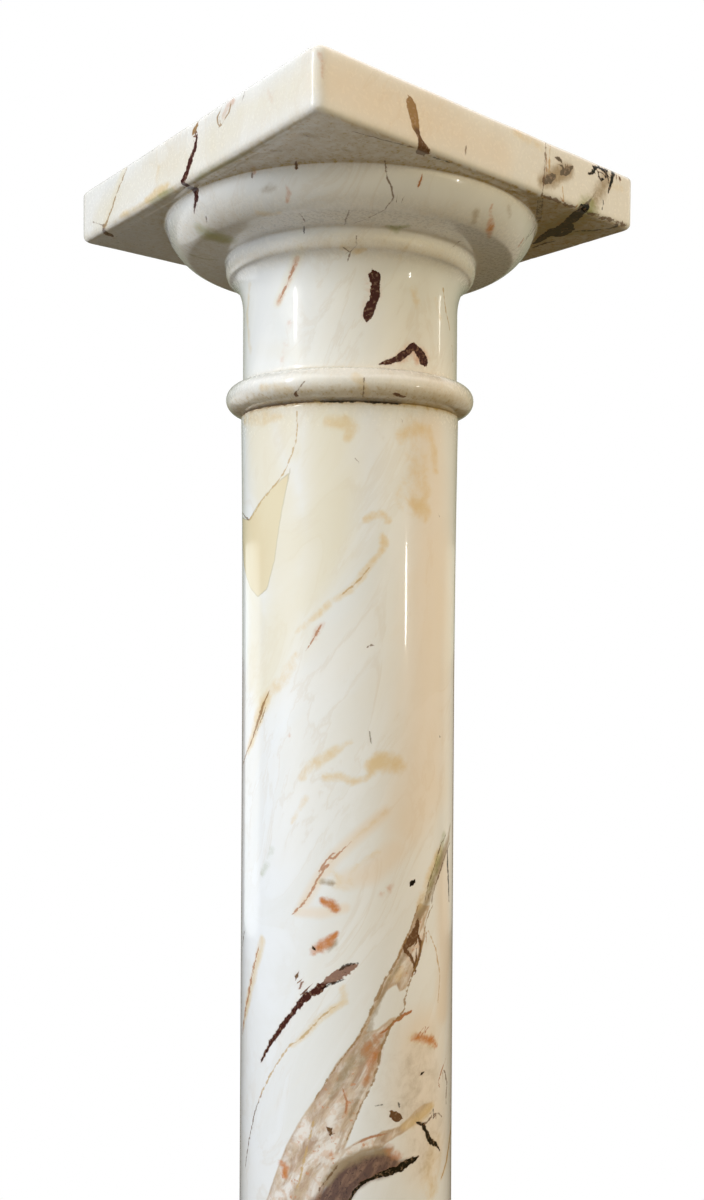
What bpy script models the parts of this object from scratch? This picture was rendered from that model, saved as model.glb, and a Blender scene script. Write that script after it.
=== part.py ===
# Turned marble pedestal column in the Doric order: base, plain shaft and capital.
# Metres, +Z up. The origin is the centre of the plinth's underside, and the
# square sides of plinth and abacus lie along X and Y.
import math

import bmesh
import bpy

# Fineness of the faceted solids
TURN_STEPS = 64          # sides of everything turned
BEAD_STEPS = 8           # steps over a half-round moulding
COVE_STEPS = 5           # steps over a hollow moulding
OVOLO_STEPS = 8          # steps over the echinus
EDGE_STEPS = 3           # steps over a rounded edge of a square slab
MERGE_DISTANCE = 0.00001
SHARP_ANGLE = math.radians(32)

# Polished marble
BASE_COLOUR = (0.80, 0.76, 0.70)
SHAFT_COLOUR = (0.82, 0.78, 0.73)
CAPITAL_COLOUR = (0.80, 0.77, 0.71)
POLISH_ROUGHNESS = 0.16

# Bed joints between the stones
BED_GAP = 0.0003         # clear height of a dry joint
BED_CHAMFER = 0.0006     # small bevel where two stones meet

# Base, from the shaft's foot outwards: a small hollow, a fillet, a torus and a square plinth
BASE_HOLLOW_HEIGHT = 0.016
BASE_FILLET_HEIGHT = 0.007
BASE_FILLET_PROJECTION = 0.0144
TORUS_HEIGHT = 0.040
TORUS_STEP = 0.0135      # from the fillet out to where the torus springs
PLINTH_HEIGHT = 0.060
PLINTH_MARGIN = 0.0153   # from the torus out to the plinth's side
PLINTH_EDGE = 0.0035

# Shaft: widest at its two ends, and a little narrower below the capital
SHAFT_LENGTH = 0.770
SHAFT_FOOT_RADIUS = 0.0781
SHAFT_WAIST_RADIUS = 0.0768
SHAFT_TOP_RADIUS = 0.0780
SHAFT_FLARE_LENGTH = 0.190
SHAFT_FLARE_STEPS = 4

# Capital, from the shaft upwards and outwards, all cut from one stone
ASTRAGAL_HEIGHT = 0.0211
ASTRAGAL_PROJECTION = 0.0109
NECK_HEIGHT = 0.0517
NECK_RECESS = 0.0012     # the neck stands back from the shaft's top
NECK_HOLLOW_HEIGHT = 0.0225
ANNULET_HEIGHT = 0.0124
ANNULET_PROJECTION = 0.0104
ANNULET_LEAN = 0.0014    # its upper rim lies further out than its lower one
ANNULET_BULGE = 0.0016
SOFFIT_WIDTH = 0.0250    # flat ring under the echinus
SOFFIT_RISE = 0.0014
ECHINUS_HEIGHT = 0.0215
ECHINUS_PROJECTION = 0.0176
ECHINUS_FULLNESS = 1.46  # 1 is a plain chamfer, 2 a quarter of an ellipse
ABACUS_HEIGHT = 0.0363
ABACUS_MARGIN = 0.0101   # from the echinus out to the abacus's side
ABACUS_EDGE = 0.0035
SLAB_SEAT = 0.002        # how far the turned work runs on inside a square slab

# Levels of the stones, worked out from the sizes above
BASE_HEIGHT = PLINTH_HEIGHT + TORUS_HEIGHT + BASE_FILLET_HEIGHT + BASE_HOLLOW_HEIGHT
SHAFT_BOTTOM = BASE_HEIGHT + BED_GAP
SHAFT_TOP = SHAFT_BOTTOM + SHAFT_LENGTH
CAPITAL_BOTTOM = SHAFT_TOP + BED_GAP


def clear_scene():
    for item in list(bpy.data.objects):
        bpy.data.objects.remove(item, do_unlink=True)


def marble(name, colour):
    material = bpy.data.materials.new(name)
    material.use_nodes = True
    shader = material.node_tree.nodes["Principled BSDF"]
    shader.inputs["Base Color"].default_value = (*colour, 1.0)
    shader.inputs["Roughness"].default_value = POLISH_ROUGHNESS
    shader.inputs["Metallic"].default_value = 0.0
    return material


def finish(item, material):
    item.data.materials.append(material)
    item.data.shade_smooth()
    item.data.set_sharp_from_angle(angle=SHARP_ANGLE)
    return item


def add_object(name, bm):
    bmesh.ops.recalc_face_normals(bm, faces=bm.faces[:])
    mesh = bpy.data.meshes.new(name)
    bm.to_mesh(mesh)
    bm.free()
    item = bpy.data.objects.new(name, mesh)
    bpy.context.collection.objects.link(item)
    return item


def turned(name, profile):
    # profile: (radius, height) pairs from the lower bed to the upper one
    bm = bmesh.new()
    points = [bm.verts.new((radius, 0.0, height)) for radius, height in profile]
    lines = [bm.edges.new(pair) for pair in zip(points, points[1:])]
    bmesh.ops.spin(bm, geom=points + lines, cent=(0, 0, 0), axis=(0, 0, 1),
                   angle=math.tau, steps=TURN_STEPS, use_merge=True)
    bmesh.ops.remove_doubles(bm, verts=bm.verts[:], dist=MERGE_DISTANCE)
    rims = [edge for edge in bm.edges if edge.is_boundary]
    bmesh.ops.holes_fill(bm, edges=rims)
    return add_object(name, bm)


def square_slab(name, side, bottom, height, edge):
    bm = bmesh.new()
    bmesh.ops.create_cube(bm, size=1.0)
    bmesh.ops.scale(bm, vec=(side, side, height), verts=bm.verts[:])
    bmesh.ops.translate(bm, vec=(0, 0, bottom + height / 2), verts=bm.verts[:])
    bmesh.ops.bevel(bm, geom=bm.edges[:], offset=edge, segments=EDGE_STEPS,
                    profile=0.5, affect='EDGES')
    return add_object(name, bm)


def unite(slab, core):
    # the core is only a guide: the slab carries the finished stone
    union = slab.modifiers.new("turned work", 'BOOLEAN')
    union.operation = 'UNION'
    union.solver = 'EXACT'
    union.object = core
    core.hide_render = True
    core.display_type = 'WIRE'
    return slab


def half_round(core_radius, bottom, height, projection, steps):
    # a bead or torus, springing from core_radius and returning to it
    points = []
    for step in range(steps + 1):
        angle = math.pi * step / steps
        radius = core_radius + projection * math.sin(angle)
        points.append((radius, bottom + height / 2 * (1 - math.cos(angle))))
    return points


def hollow_out(inner_radius, outer_radius, bottom, height, steps):
    # a hollow that leaves the upright core and ends level at the outer radius
    points = []
    for step in range(steps + 1):
        angle = math.pi / 2 * step / steps
        radius = outer_radius - (outer_radius - inner_radius) * math.cos(angle)
        points.append((radius, bottom + height * math.sin(angle)))
    return points


def hollow_in(outer_radius, inner_radius, bottom, height, steps):
    # the same hollow upside down, from a ledge in to an upright core
    rising = hollow_out(inner_radius, outer_radius, 0.0, height, steps)
    return [(radius, bottom + height - level) for radius, level in reversed(rising)]


def bulging_band(bottom_radius, top_radius, bottom, height, bulge, steps):
    points = []
    for step in range(steps + 1):
        share = step / steps
        radius = bottom_radius + (top_radius - bottom_radius) * share
        radius += bulge * math.sin(math.pi * share)
        points.append((radius, bottom + height * share))
    return points


def ovolo(inner_radius, outer_radius, bottom, height, fullness, steps):
    # from the soffit out and up to the upright edge under the abacus
    points = []
    power = 2 / fullness
    for step in range(steps + 1):
        angle = math.pi / 2 * step / steps
        radius = inner_radius + (outer_radius - inner_radius) * math.sin(angle) ** power
        drop = height * math.cos(angle) ** power
        points.append((radius, bottom + height - drop))
    return points


def joined(*stretches):
    # drops a point that repeats the one before it
    profile = []
    for stretch in stretches:
        for point in stretch:
            if not profile or math.dist(point, profile[-1]) > MERGE_DISTANCE:
                profile.append(point)
    return profile


def build_base(material):
    torus_bottom = PLINTH_HEIGHT
    fillet_bottom = torus_bottom + TORUS_HEIGHT
    hollow_bottom = fillet_bottom + BASE_FILLET_HEIGHT
    fillet_radius = SHAFT_FOOT_RADIUS + BASE_FILLET_PROJECTION
    torus_core = fillet_radius + TORUS_STEP
    torus_projection = TORUS_HEIGHT / 2
    plinth_side = 2 * (torus_core + torus_projection + PLINTH_MARGIN)
    core = turned("base_core", joined(
        [(torus_core, torus_bottom - SLAB_SEAT)],
        half_round(torus_core, torus_bottom, TORUS_HEIGHT, torus_projection, BEAD_STEPS),
        [(fillet_radius, fillet_bottom), (fillet_radius, hollow_bottom)],
        hollow_in(fillet_radius, SHAFT_FOOT_RADIUS, hollow_bottom,
                  BASE_HOLLOW_HEIGHT - BED_CHAMFER, COVE_STEPS),
        [(SHAFT_FOOT_RADIUS - BED_CHAMFER, BASE_HEIGHT)]))
    slab = square_slab("base", plinth_side, 0.0, PLINTH_HEIGHT, PLINTH_EDGE)
    return finish(unite(slab, core), material)


def build_shaft(material):
    waist = SHAFT_TOP - SHAFT_FLARE_LENGTH
    flare = []
    for step in range(SHAFT_FLARE_STEPS + 1):
        share = step / SHAFT_FLARE_STEPS
        radius = SHAFT_WAIST_RADIUS + (SHAFT_TOP_RADIUS - SHAFT_WAIST_RADIUS) * share ** 2
        flare.append((radius, waist + (SHAFT_FLARE_LENGTH - BED_CHAMFER) * share))
    shaft = turned("shaft", joined(
        [(SHAFT_FOOT_RADIUS - BED_CHAMFER, SHAFT_BOTTOM)],
        [(SHAFT_FOOT_RADIUS, SHAFT_BOTTOM + BED_CHAMFER)],
        flare,
        [(SHAFT_TOP_RADIUS - BED_CHAMFER, SHAFT_TOP)]))
    return finish(shaft, material)


def build_capital(material):
    neck_bottom = CAPITAL_BOTTOM + ASTRAGAL_HEIGHT
    hollow_bottom = neck_bottom + NECK_HEIGHT
    annulet_bottom = hollow_bottom + NECK_HOLLOW_HEIGHT
    annulet_top = annulet_bottom + ANNULET_HEIGHT
    echinus_bottom = annulet_top + SOFFIT_RISE
    abacus_bottom = echinus_bottom + ECHINUS_HEIGHT
    neck_radius = SHAFT_TOP_RADIUS - NECK_RECESS
    annulet_radius = neck_radius + ANNULET_PROJECTION
    annulet_top_radius = annulet_radius + ANNULET_LEAN
    soffit_radius = annulet_top_radius + SOFFIT_WIDTH
    echinus_radius = soffit_radius + ECHINUS_PROJECTION
    abacus_side = 2 * (echinus_radius + ABACUS_MARGIN)
    core = turned("capital_core", joined(
        [(SHAFT_TOP_RADIUS - BED_CHAMFER, CAPITAL_BOTTOM)],
        half_round(SHAFT_TOP_RADIUS, CAPITAL_BOTTOM + BED_CHAMFER,
                   ASTRAGAL_HEIGHT - BED_CHAMFER, ASTRAGAL_PROJECTION, BEAD_STEPS),
        [(neck_radius, neck_bottom)],
        hollow_out(neck_radius, annulet_radius, hollow_bottom, NECK_HOLLOW_HEIGHT, COVE_STEPS),
        bulging_band(annulet_radius, annulet_top_radius, annulet_bottom, ANNULET_HEIGHT,
                     ANNULET_BULGE, COVE_STEPS),
        ovolo(soffit_radius, echinus_radius, echinus_bottom, ECHINUS_HEIGHT,
              ECHINUS_FULLNESS, OVOLO_STEPS),
        [(echinus_radius, abacus_bottom + SLAB_SEAT)]))
    slab = square_slab("capital", abacus_side, abacus_bottom, ABACUS_HEIGHT, ABACUS_EDGE)
    return finish(unite(slab, core), material)


clear_scene()
build_base(marble("base marble", BASE_COLOUR))
build_shaft(marble("shaft marble", SHAFT_COLOUR))
build_capital(marble("capital marble", CAPITAL_COLOUR))
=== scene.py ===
import math
import random

import bmesh
import bpy
import numpy as np
from mathutils import Matrix, Vector, noise
from mathutils.bvhtree import BVHTree


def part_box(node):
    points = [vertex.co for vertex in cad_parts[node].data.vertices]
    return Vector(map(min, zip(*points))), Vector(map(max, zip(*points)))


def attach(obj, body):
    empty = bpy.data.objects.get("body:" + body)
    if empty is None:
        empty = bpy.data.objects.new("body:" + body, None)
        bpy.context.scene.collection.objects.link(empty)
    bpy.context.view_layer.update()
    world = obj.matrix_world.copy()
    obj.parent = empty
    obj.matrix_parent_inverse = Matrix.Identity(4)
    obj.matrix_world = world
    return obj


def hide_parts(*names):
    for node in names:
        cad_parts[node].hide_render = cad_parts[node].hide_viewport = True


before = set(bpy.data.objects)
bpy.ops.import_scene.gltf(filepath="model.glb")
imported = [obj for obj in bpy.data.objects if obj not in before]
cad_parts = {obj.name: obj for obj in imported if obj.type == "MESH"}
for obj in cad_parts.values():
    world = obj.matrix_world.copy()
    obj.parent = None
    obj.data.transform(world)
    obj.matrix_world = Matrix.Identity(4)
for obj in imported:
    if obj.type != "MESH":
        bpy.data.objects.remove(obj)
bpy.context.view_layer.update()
mm = 0.001
print("frame loaded:", sorted(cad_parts))

# The camera stands where the photographer stood: in front of one corner of the abacus, a little to its right.
# Lengths are metres and angles degrees. The picture is 704 by 1200 pixels.
photoCamera = {
    "aroundAxis": -39.83,     # direction of the camera from the axis, 0 is in front of the -Y side
    "fromAxis": 0.7320,
    "belowJoint": 0.1125,      # the joint between shaft and capital
    "pitch": -1.463,
    "pan": 0.188,
    "roll": 0.327,
    "focalPixels": 1007.2,
    "pictureWide": 704,
    "pictureTall": 1200,
    "sensorWide": 36,
    "nearest": 0.02,
}


def cameraAxes(c):
    turn = Matrix.Rotation(math.radians(c["aroundAxis"]), 3, 'Z')
    pitch, pan, roll = (math.radians(c[k]) for k in ("pitch", "pan", "roll"))
    ahead = Vector((math.sin(pan) * math.cos(pitch), math.cos(pan) * math.cos(pitch), math.sin(pitch)))
    level = Vector((math.cos(pan), -math.sin(pan), 0))
    upright = level.cross(ahead)
    right = level * math.cos(roll) + upright * math.sin(roll)
    up = upright * math.cos(roll) - level * math.sin(roll)
    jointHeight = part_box("capital")[0].z
    eye = Vector((0, -c["fromAxis"], jointHeight - c["belowJoint"]))
    return turn @ eye, turn @ right, turn @ up, turn @ ahead


eye, cameraRight, cameraUp, cameraAhead = cameraAxes(photoCamera)


def addObject(name, data):
    item = bpy.data.objects.new(name, data)
    bpy.context.scene.collection.objects.link(item)
    return item


def makeCamera(c):
    data = bpy.data.cameras.new("photoCamera")
    data.sensor_width = c["sensorWide"]
    data.lens = c["focalPixels"] * data.sensor_width / c["pictureTall"]
    data.clip_start = c["nearest"]
    item = addObject("photoCamera", data)
    axes = Matrix((cameraRight, cameraUp, -cameraAhead)).transposed()
    item.matrix_world = Matrix.Translation(eye) @ axes.to_4x4()
    bpy.context.scene.camera = item


makeCamera(photoCamera)


def photoRay(x, y):
    # direction through a pixel of the 704 by 1200 picture
    c = photoCamera
    across = (x - c["pictureWide"] / 2) / c["focalPixels"]
    down = (y - c["pictureTall"] / 2) / c["focalPixels"]
    return (cameraAhead + cameraRight * across - cameraUp * down).normalized()


# Turned profiles: lists of (radius, height) in metres, at most `fine` apart
samePoint = 0.1 * mm     # points of a profile that are closer are one
weldedWithin = 0.01 * mm
levelWithin = 0.05 * mm


def stepsAlong(length, fine, fewest):
    return max(fewest, math.ceil(length / fine))


def straightRun(start, end, fine):
    steps = stepsAlong(math.dist(start, end), fine, 1)
    return [(start[0] + (end[0] - start[0]) * i / steps, start[1] + (end[1] - start[1]) * i / steps)
            for i in range(steps + 1)]


def bead(core, bottom, height, projection, fine):
    steps = stepsAlong(math.pi * projection, fine, 8)
    return [(core + projection * math.sin(math.pi * i / steps),
             bottom + height / 2 * (1 - math.cos(math.pi * i / steps))) for i in range(steps + 1)]


def hollow(inner, outer, bottom, height, fine):
    steps = stepsAlong(1.4 * max(height, outer - inner), fine, 8)
    return [(outer - (outer - inner) * math.cos(math.pi / 2 * i / steps),
             bottom + height * math.sin(math.pi / 2 * i / steps)) for i in range(steps + 1)]


def bulgingBand(low, high, bottom, height, bulge, fine):
    steps = stepsAlong(height, fine, 6)
    return [(low + (high - low) * i / steps + bulge * math.sin(math.pi * i / steps),
             bottom + height * i / steps) for i in range(steps + 1)]


def ovolo(inner, outer, bottom, height, fullness, fine):
    steps = stepsAlong(1.3 * height, fine, 12)
    power = 2 / fullness
    return [(inner + (outer - inner) * math.sin(math.pi / 2 * i / steps) ** power,
             bottom + height - height * math.cos(math.pi / 2 * i / steps) ** power) for i in range(steps + 1)]


def chain(*runs):
    points = []
    for run in runs:
        for point in run:
            if not points or math.dist(point, points[-1]) > samePoint:
                points.append(point)
    return points


def eased(points, times):
    # rounds every arris a little, as polishing does, and keeps both ends
    for _ in range(times):
        inner = [((a[0] + 2 * b[0] + c[0]) / 4, (a[1] + 2 * b[1] + c[1]) / 4)
                 for a, b, c in zip(points, points[1:], points[2:])]
        points = [points[0], *inner, points[-1]]
    return points


def spunStone(profile, steps):
    bm = bmesh.new()
    line = [bm.verts.new((radius, 0, height)) for radius, height in profile]
    edges = [bm.edges.new(pair) for pair in zip(line, line[1:])]
    bmesh.ops.spin(bm, geom=line + edges, axis=(0, 0, 1), cent=(0, 0, 0), angle=math.tau,
                   steps=steps, use_merge=True)
    bmesh.ops.remove_doubles(bm, verts=bm.verts[:], dist=weldedWithin)
    turnLayer = bm.verts.layers.float.new("turn")
    for v in bm.verts:
        v[turnLayer] = math.atan2(v.co.y, v.co.x) / math.tau
    return bm


def openRim(bm, highest):
    rim = [e for e in bm.edges if e.is_boundary]
    level = (max if highest else min)(e.verts[0].co.z for e in rim)
    return [e for e in rim if abs(e.verts[0].co.z - level) < levelWithin]


def squarePoint(turn, half, corner):
    # walks a rounded square by length; turn 0 is the middle of its +X side
    quarter = round(turn * 4)
    straight = half - corner
    along = (turn * 4 - quarter) * (2 * straight + corner * math.pi / 2)
    if abs(along) <= straight:
        x, y = half, along
    else:
        angle = min((abs(along) - straight) / corner, math.pi / 4)
        x = straight + corner * math.cos(angle)
        y = math.copysign(straight + corner * math.sin(angle), along)
    c, s = round(math.cos(quarter * math.pi / 2)), round(math.sin(quarter * math.pi / 2))
    return x * c - y * s, x * s + y * c


def addRings(bm, rim, rings):
    # each ring: share of the square shape, radius of the round shape, half side, corner radius, height
    turnLayer = bm.verts.layers.float["turn"]
    for share, radius, half, corner, height in rings:
        made = bmesh.ops.extrude_edge_only(bm, edges=rim)["geom"]
        rim = [g for g in made if isinstance(g, bmesh.types.BMEdge)]
        for v in (g for g in made if isinstance(g, bmesh.types.BMVert)):
            turn = v[turnLayer]
            sx, sy = squarePoint(turn, half, corner) if share > 0 else (0, 0)
            cx, cy = radius * math.cos(turn * math.tau), radius * math.sin(turn * math.tau)
            v.co = (cx + (sx - cx) * share, cy + (sy - cy) * share, height)
    return rim


def closeAtAxis(bm, rim):
    verts = list({v for e in rim for v in e.verts})
    height = verts[0].co.z
    made = bmesh.ops.extrude_edge_only(bm, edges=rim)["geom"]
    tips = [g for g in made if isinstance(g, bmesh.types.BMVert)]
    bmesh.ops.pointmerge(bm, verts=tips, merge_co=(0, 0, height))


slab = {
    "faceRings": 14,
    "farFaceRings": 9,
    "edgeRings": 4,
    "cornerShare": 0.6,       # how much of the edge's rounding comes off the corner's
    "lastRadius": 10 * mm,
}


def slabRings(joinRadius, half, corner, low, high, edge, fine):
    # from the turned work across one face of a square slab, round its edge, over its side and across the far face
    up = 1 if high > low else -1
    softened = edge * slab["cornerShare"]
    turns = [math.pi / 2 * i / slab["edgeRings"] for i in range(1, slab["edgeRings"] + 1)]
    rise = abs(high - low) - 2 * edge
    steps = math.ceil(rise / fine)
    rings = [(i / slab["faceRings"], joinRadius, half - edge, corner - softened, low)
             for i in range(1, slab["faceRings"] + 1)]
    rings += [(1, 0, half - edge + edge * math.sin(a), corner - softened * (1 - math.sin(a)),
               low + up * edge * (1 - math.cos(a))) for a in turns]
    rings += [(1, 0, half, corner, low + up * (edge + rise * i / steps)) for i in range(1, steps + 1)]
    rings += [(1, 0, half - edge + edge * math.cos(a), corner - softened * (1 - math.cos(a)),
               high - up * edge * (1 - math.sin(a))) for a in turns]
    rings += [(1 - i / slab["farFaceRings"], slab["lastRadius"], half - edge, corner - softened, high)
              for i in range(1, slab["farFaceRings"] + 1)]
    return rings


wear = {
    "reach": 9 * mm,          # only this near to the slab's sides
    "edgeReach": 7 * mm,
    "cornerShare": 0.7,
    "roughScale": (38, 38, 30),
    "nickScale": 130,
    "nicksAbove": 0.42,
    "nickDepth": 3.2,
    "fading": 1.6,
    "inward": 0.8,
    "upright": 0.6,
}


def wearEdges(bm, low, high, half, depth, seed):
    # knocks the slab's edges and corners back unevenly; low and high are its lower and upper faces
    w = wear
    reach = w["edgeReach"]
    acrossX, acrossY, upwards = w["roughScale"]
    for v in bm.verts:
        x, y, z = abs(v.co.x), abs(v.co.y), v.co.z
        if z < low - mm or z > high + mm or max(x, y) < half - w["reach"]:
            continue
        level = min(z - low, high - z)
        toEdge = math.hypot(max(0, reach - level), max(0, reach - (half - min(x, y))) * w["cornerShare"]) / reach
        rough = 0.5 + 0.5 * noise.noise(Vector((v.co.x * acrossX, v.co.y * acrossY, seed + v.co.z * upwards)))
        nickPlace = (v.co.x * w["nickScale"], v.co.y * w["nickScale"], seed * 3 + v.co.z * w["nickScale"])
        nick = max(0, noise.noise(Vector(nickPlace)) - w["nicksAbove"])
        push = depth * toEdge ** w["fading"] * (rough + w["nickDepth"] * nick)
        inward = Vector((-v.co.x, -v.co.y, 0)).normalized() * w["inward"]
        inward.z = w["upright"] if z < (low + high) / 2 else -w["upright"]
        v.co += inward * push


def finishedStone(bm, name, node):
    bmesh.ops.recalc_face_normals(bm, faces=bm.faces[:])
    mesh = bpy.data.meshes.new(name)
    bm.to_mesh(mesh)
    bm.free()
    mesh.shade_smooth()
    item = addObject(name, mesh)
    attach(item, "root")
    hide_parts(node)
    print("made", name, "with", len(mesh.polygons), "faces")
    return item


capitalSizes = {
    "shaftTop": 78.0 * mm,
    "bedChamfer": 0.7 * mm,
    "astragalHeight": 21.1 * mm,
    "astragalOut": 10.9 * mm,
    "neckRadius": 76.8 * mm,
    "neckHeight": 51.7 * mm,
    "hollowHeight": 22.5 * mm,
    "annulet": 87.2 * mm,
    "annuletTop": 88.6 * mm,
    "annuletHeight": 12.4 * mm,
    "annuletBulge": 1.6 * mm,
    "soffit": 113.6 * mm,
    "soffitRise": 1.4 * mm,
    "echinus": 131.2 * mm,
    "echinusHeight": 21.5 * mm,
    "echinusFullness": 1.46,
    "junctionFillet": 1.6 * mm,    # hollow between echinus and abacus
    "abacusHalf": 141.3 * mm,
    "abacusHeight": 36.3 * mm,
    "abacusCorner": 6 * mm,
    "abacusEdge": 3.5 * mm,
    "edgeWear": 0.6 * mm,
    "wearSeed": 4.7,
    "fine": 1.6 * mm,
    "filletFine": 0.3 * mm,
    "slabFine": 2.2 * mm,
    "steps": 480,
}


def makeCapital(s):
    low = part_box("capital")[0].z
    fine = s["fine"]
    neckLow = low + s["astragalHeight"]
    hollowLow = neckLow + s["neckHeight"]
    annuletLow = hollowLow + s["hollowHeight"]
    annuletHigh = annuletLow + s["annuletHeight"]
    echinusLow = annuletHigh + s["soffitRise"]
    abacusLow = echinusLow + s["echinusHeight"]
    abacusHigh = abacusLow + s["abacusHeight"]
    fillet = s["junctionFillet"]
    profile = chain(
        [(s["shaftTop"] - s["bedChamfer"], low)],
        bead(s["shaftTop"], low + s["bedChamfer"], s["astragalHeight"] - s["bedChamfer"], s["astragalOut"], fine),
        straightRun((s["neckRadius"], neckLow), (s["neckRadius"], hollowLow), fine),
        hollow(s["neckRadius"], s["annulet"], hollowLow, s["hollowHeight"], fine),
        bulgingBand(s["annulet"], s["annuletTop"], annuletLow, s["annuletHeight"], s["annuletBulge"], fine),
        straightRun((s["annuletTop"], annuletHigh), (s["soffit"], echinusLow), fine),
        ovolo(s["soffit"], s["echinus"], echinusLow, s["echinusHeight"] - fillet, s["echinusFullness"], fine),
        hollow(s["echinus"], s["echinus"] + fillet, abacusLow - fillet, fillet, s["filletFine"]))
    bm = spunStone(eased(profile, 2), s["steps"])
    top = openRim(bm, True)
    bottom = openRim(bm, False)
    rim = addRings(bm, top, slabRings(s["echinus"] + fillet, s["abacusHalf"], s["abacusCorner"],
                                      abacusLow, abacusHigh, s["abacusEdge"], s["slabFine"]))
    closeAtAxis(bm, rim)
    closeAtAxis(bm, bottom)
    wearEdges(bm, abacusLow, abacusHigh, s["abacusHalf"], s["edgeWear"], s["wearSeed"])
    return finishedStone(bm, "capitalStone", "capital")


shaftSizes = {
    "foot": 78.1 * mm,
    "waist": 76.8 * mm,
    "top": 78.0 * mm,
    "flareLength": 190 * mm,
    "bedChamfer": 0.7 * mm,
    "fine": 2.5 * mm,
    "steps": 200,
}


def makeShaft(s):
    low, high = (corner.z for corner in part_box("shaft"))
    waistHeight = high - s["flareLength"]
    rings = math.ceil((s["flareLength"] - s["bedChamfer"]) / s["fine"])
    flare = [(s["waist"] + (s["top"] - s["waist"]) * (i / rings) ** 2,
              waistHeight + (s["flareLength"] - s["bedChamfer"]) * i / rings) for i in range(rings + 1)]
    profile = chain(
        [(s["foot"] - s["bedChamfer"], low)],
        straightRun((s["foot"], low + s["bedChamfer"]), (s["waist"], waistHeight), s["fine"]),
        flare,
        [(s["top"] - s["bedChamfer"], high)])
    bm = spunStone(profile, s["steps"])
    for highest in (True, False):
        closeAtAxis(bm, openRim(bm, highest))
    return finishedStone(bm, "shaftStone", "shaft")


baseSizes = {
    "shaftFoot": 78.1 * mm,
    "bedChamfer": 0.7 * mm,
    "hollowHeight": 16 * mm,
    "fillet": 92.5 * mm,
    "filletHeight": 7 * mm,
    "torusCore": 106 * mm,
    "torusHeight": 40 * mm,
    "plinthHalf": 141.3 * mm,
    "plinthHeight": 60 * mm,
    "plinthCorner": 6 * mm,
    "plinthEdge": 3.5 * mm,
    "edgeWear": 0.6 * mm,
    "wearSeed": 9.1,
    "fine": 2 * mm,
    "slabFine": 2.5 * mm,
    "steps": 400,
}


def makeBase(s):
    low, high = (corner.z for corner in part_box("base"))
    plinthHigh = low + s["plinthHeight"]
    torusHigh = plinthHigh + s["torusHeight"]
    filletHigh = torusHigh + s["filletHeight"]
    hollowRise = s["hollowHeight"] - s["bedChamfer"]
    rising = hollow(s["shaftFoot"], s["fillet"], 0, hollowRise, s["fine"])
    profile = chain(
        bead(s["torusCore"], plinthHigh, s["torusHeight"], s["torusHeight"] / 2, s["fine"]),
        straightRun((s["fillet"], torusHigh), (s["fillet"], filletHigh), s["fine"]),
        [(radius, filletHigh + hollowRise - level) for radius, level in reversed(rising)],
        [(s["shaftFoot"] - s["bedChamfer"], high)])
    bm = spunStone(eased(profile, 2), s["steps"])
    top = openRim(bm, True)
    bottom = openRim(bm, False)
    rim = addRings(bm, bottom, slabRings(s["torusCore"], s["plinthHalf"], s["plinthCorner"],
                                         plinthHigh, low, s["plinthEdge"], s["slabFine"]))
    closeAtAxis(bm, rim)
    closeAtAxis(bm, top)
    wearEdges(bm, low, plinthHigh, s["plinthHalf"], s["edgeWear"], s["wearSeed"])
    return finishedStone(bm, "baseStone", "base")


capitalStone = makeCapital(capitalSizes)
shaftStone = makeShaft(shaftSizes)
baseStone = makeBase(baseSizes)
stones = [capitalStone, shaftStone, baseStone]


# Marks of the marble. A mark is (kind, strength or tone, points), and a point is (x, y, half width) in pixels
# of the 704 by 1200 picture. The kinds bold and fine are veins and cracks, and the other kinds are soft stains.
veinTones = {    # place on the tone ramp and colour
    "black": (0.0, (0.010, 0.008, 0.004, 1)),
    "maroon": (0.1, (0.058, 0.013, 0.010, 1)),
    "plum": (0.2, (0.29, 0.175, 0.14, 1)),
    "umber": (0.35, (0.15, 0.078, 0.038, 1)),
    "bronze": (0.5, (0.34, 0.205, 0.085, 1)),
    "rust": (0.65, (0.46, 0.20, 0.09, 1)),
    "ochre": (0.82, (0.58, 0.40, 0.19, 1)),
    "slate": (1.0, (0.15, 0.12, 0.09, 1)),
}
stainChannels = {"ochre": ("warmStain", 0), "cream": ("warmStain", 1), "peach": ("warmStain", 2),
                 "russet": ("coolStain", 0), "grey": ("coolStain", 1), "olive": ("coolStain", 2)}

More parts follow.
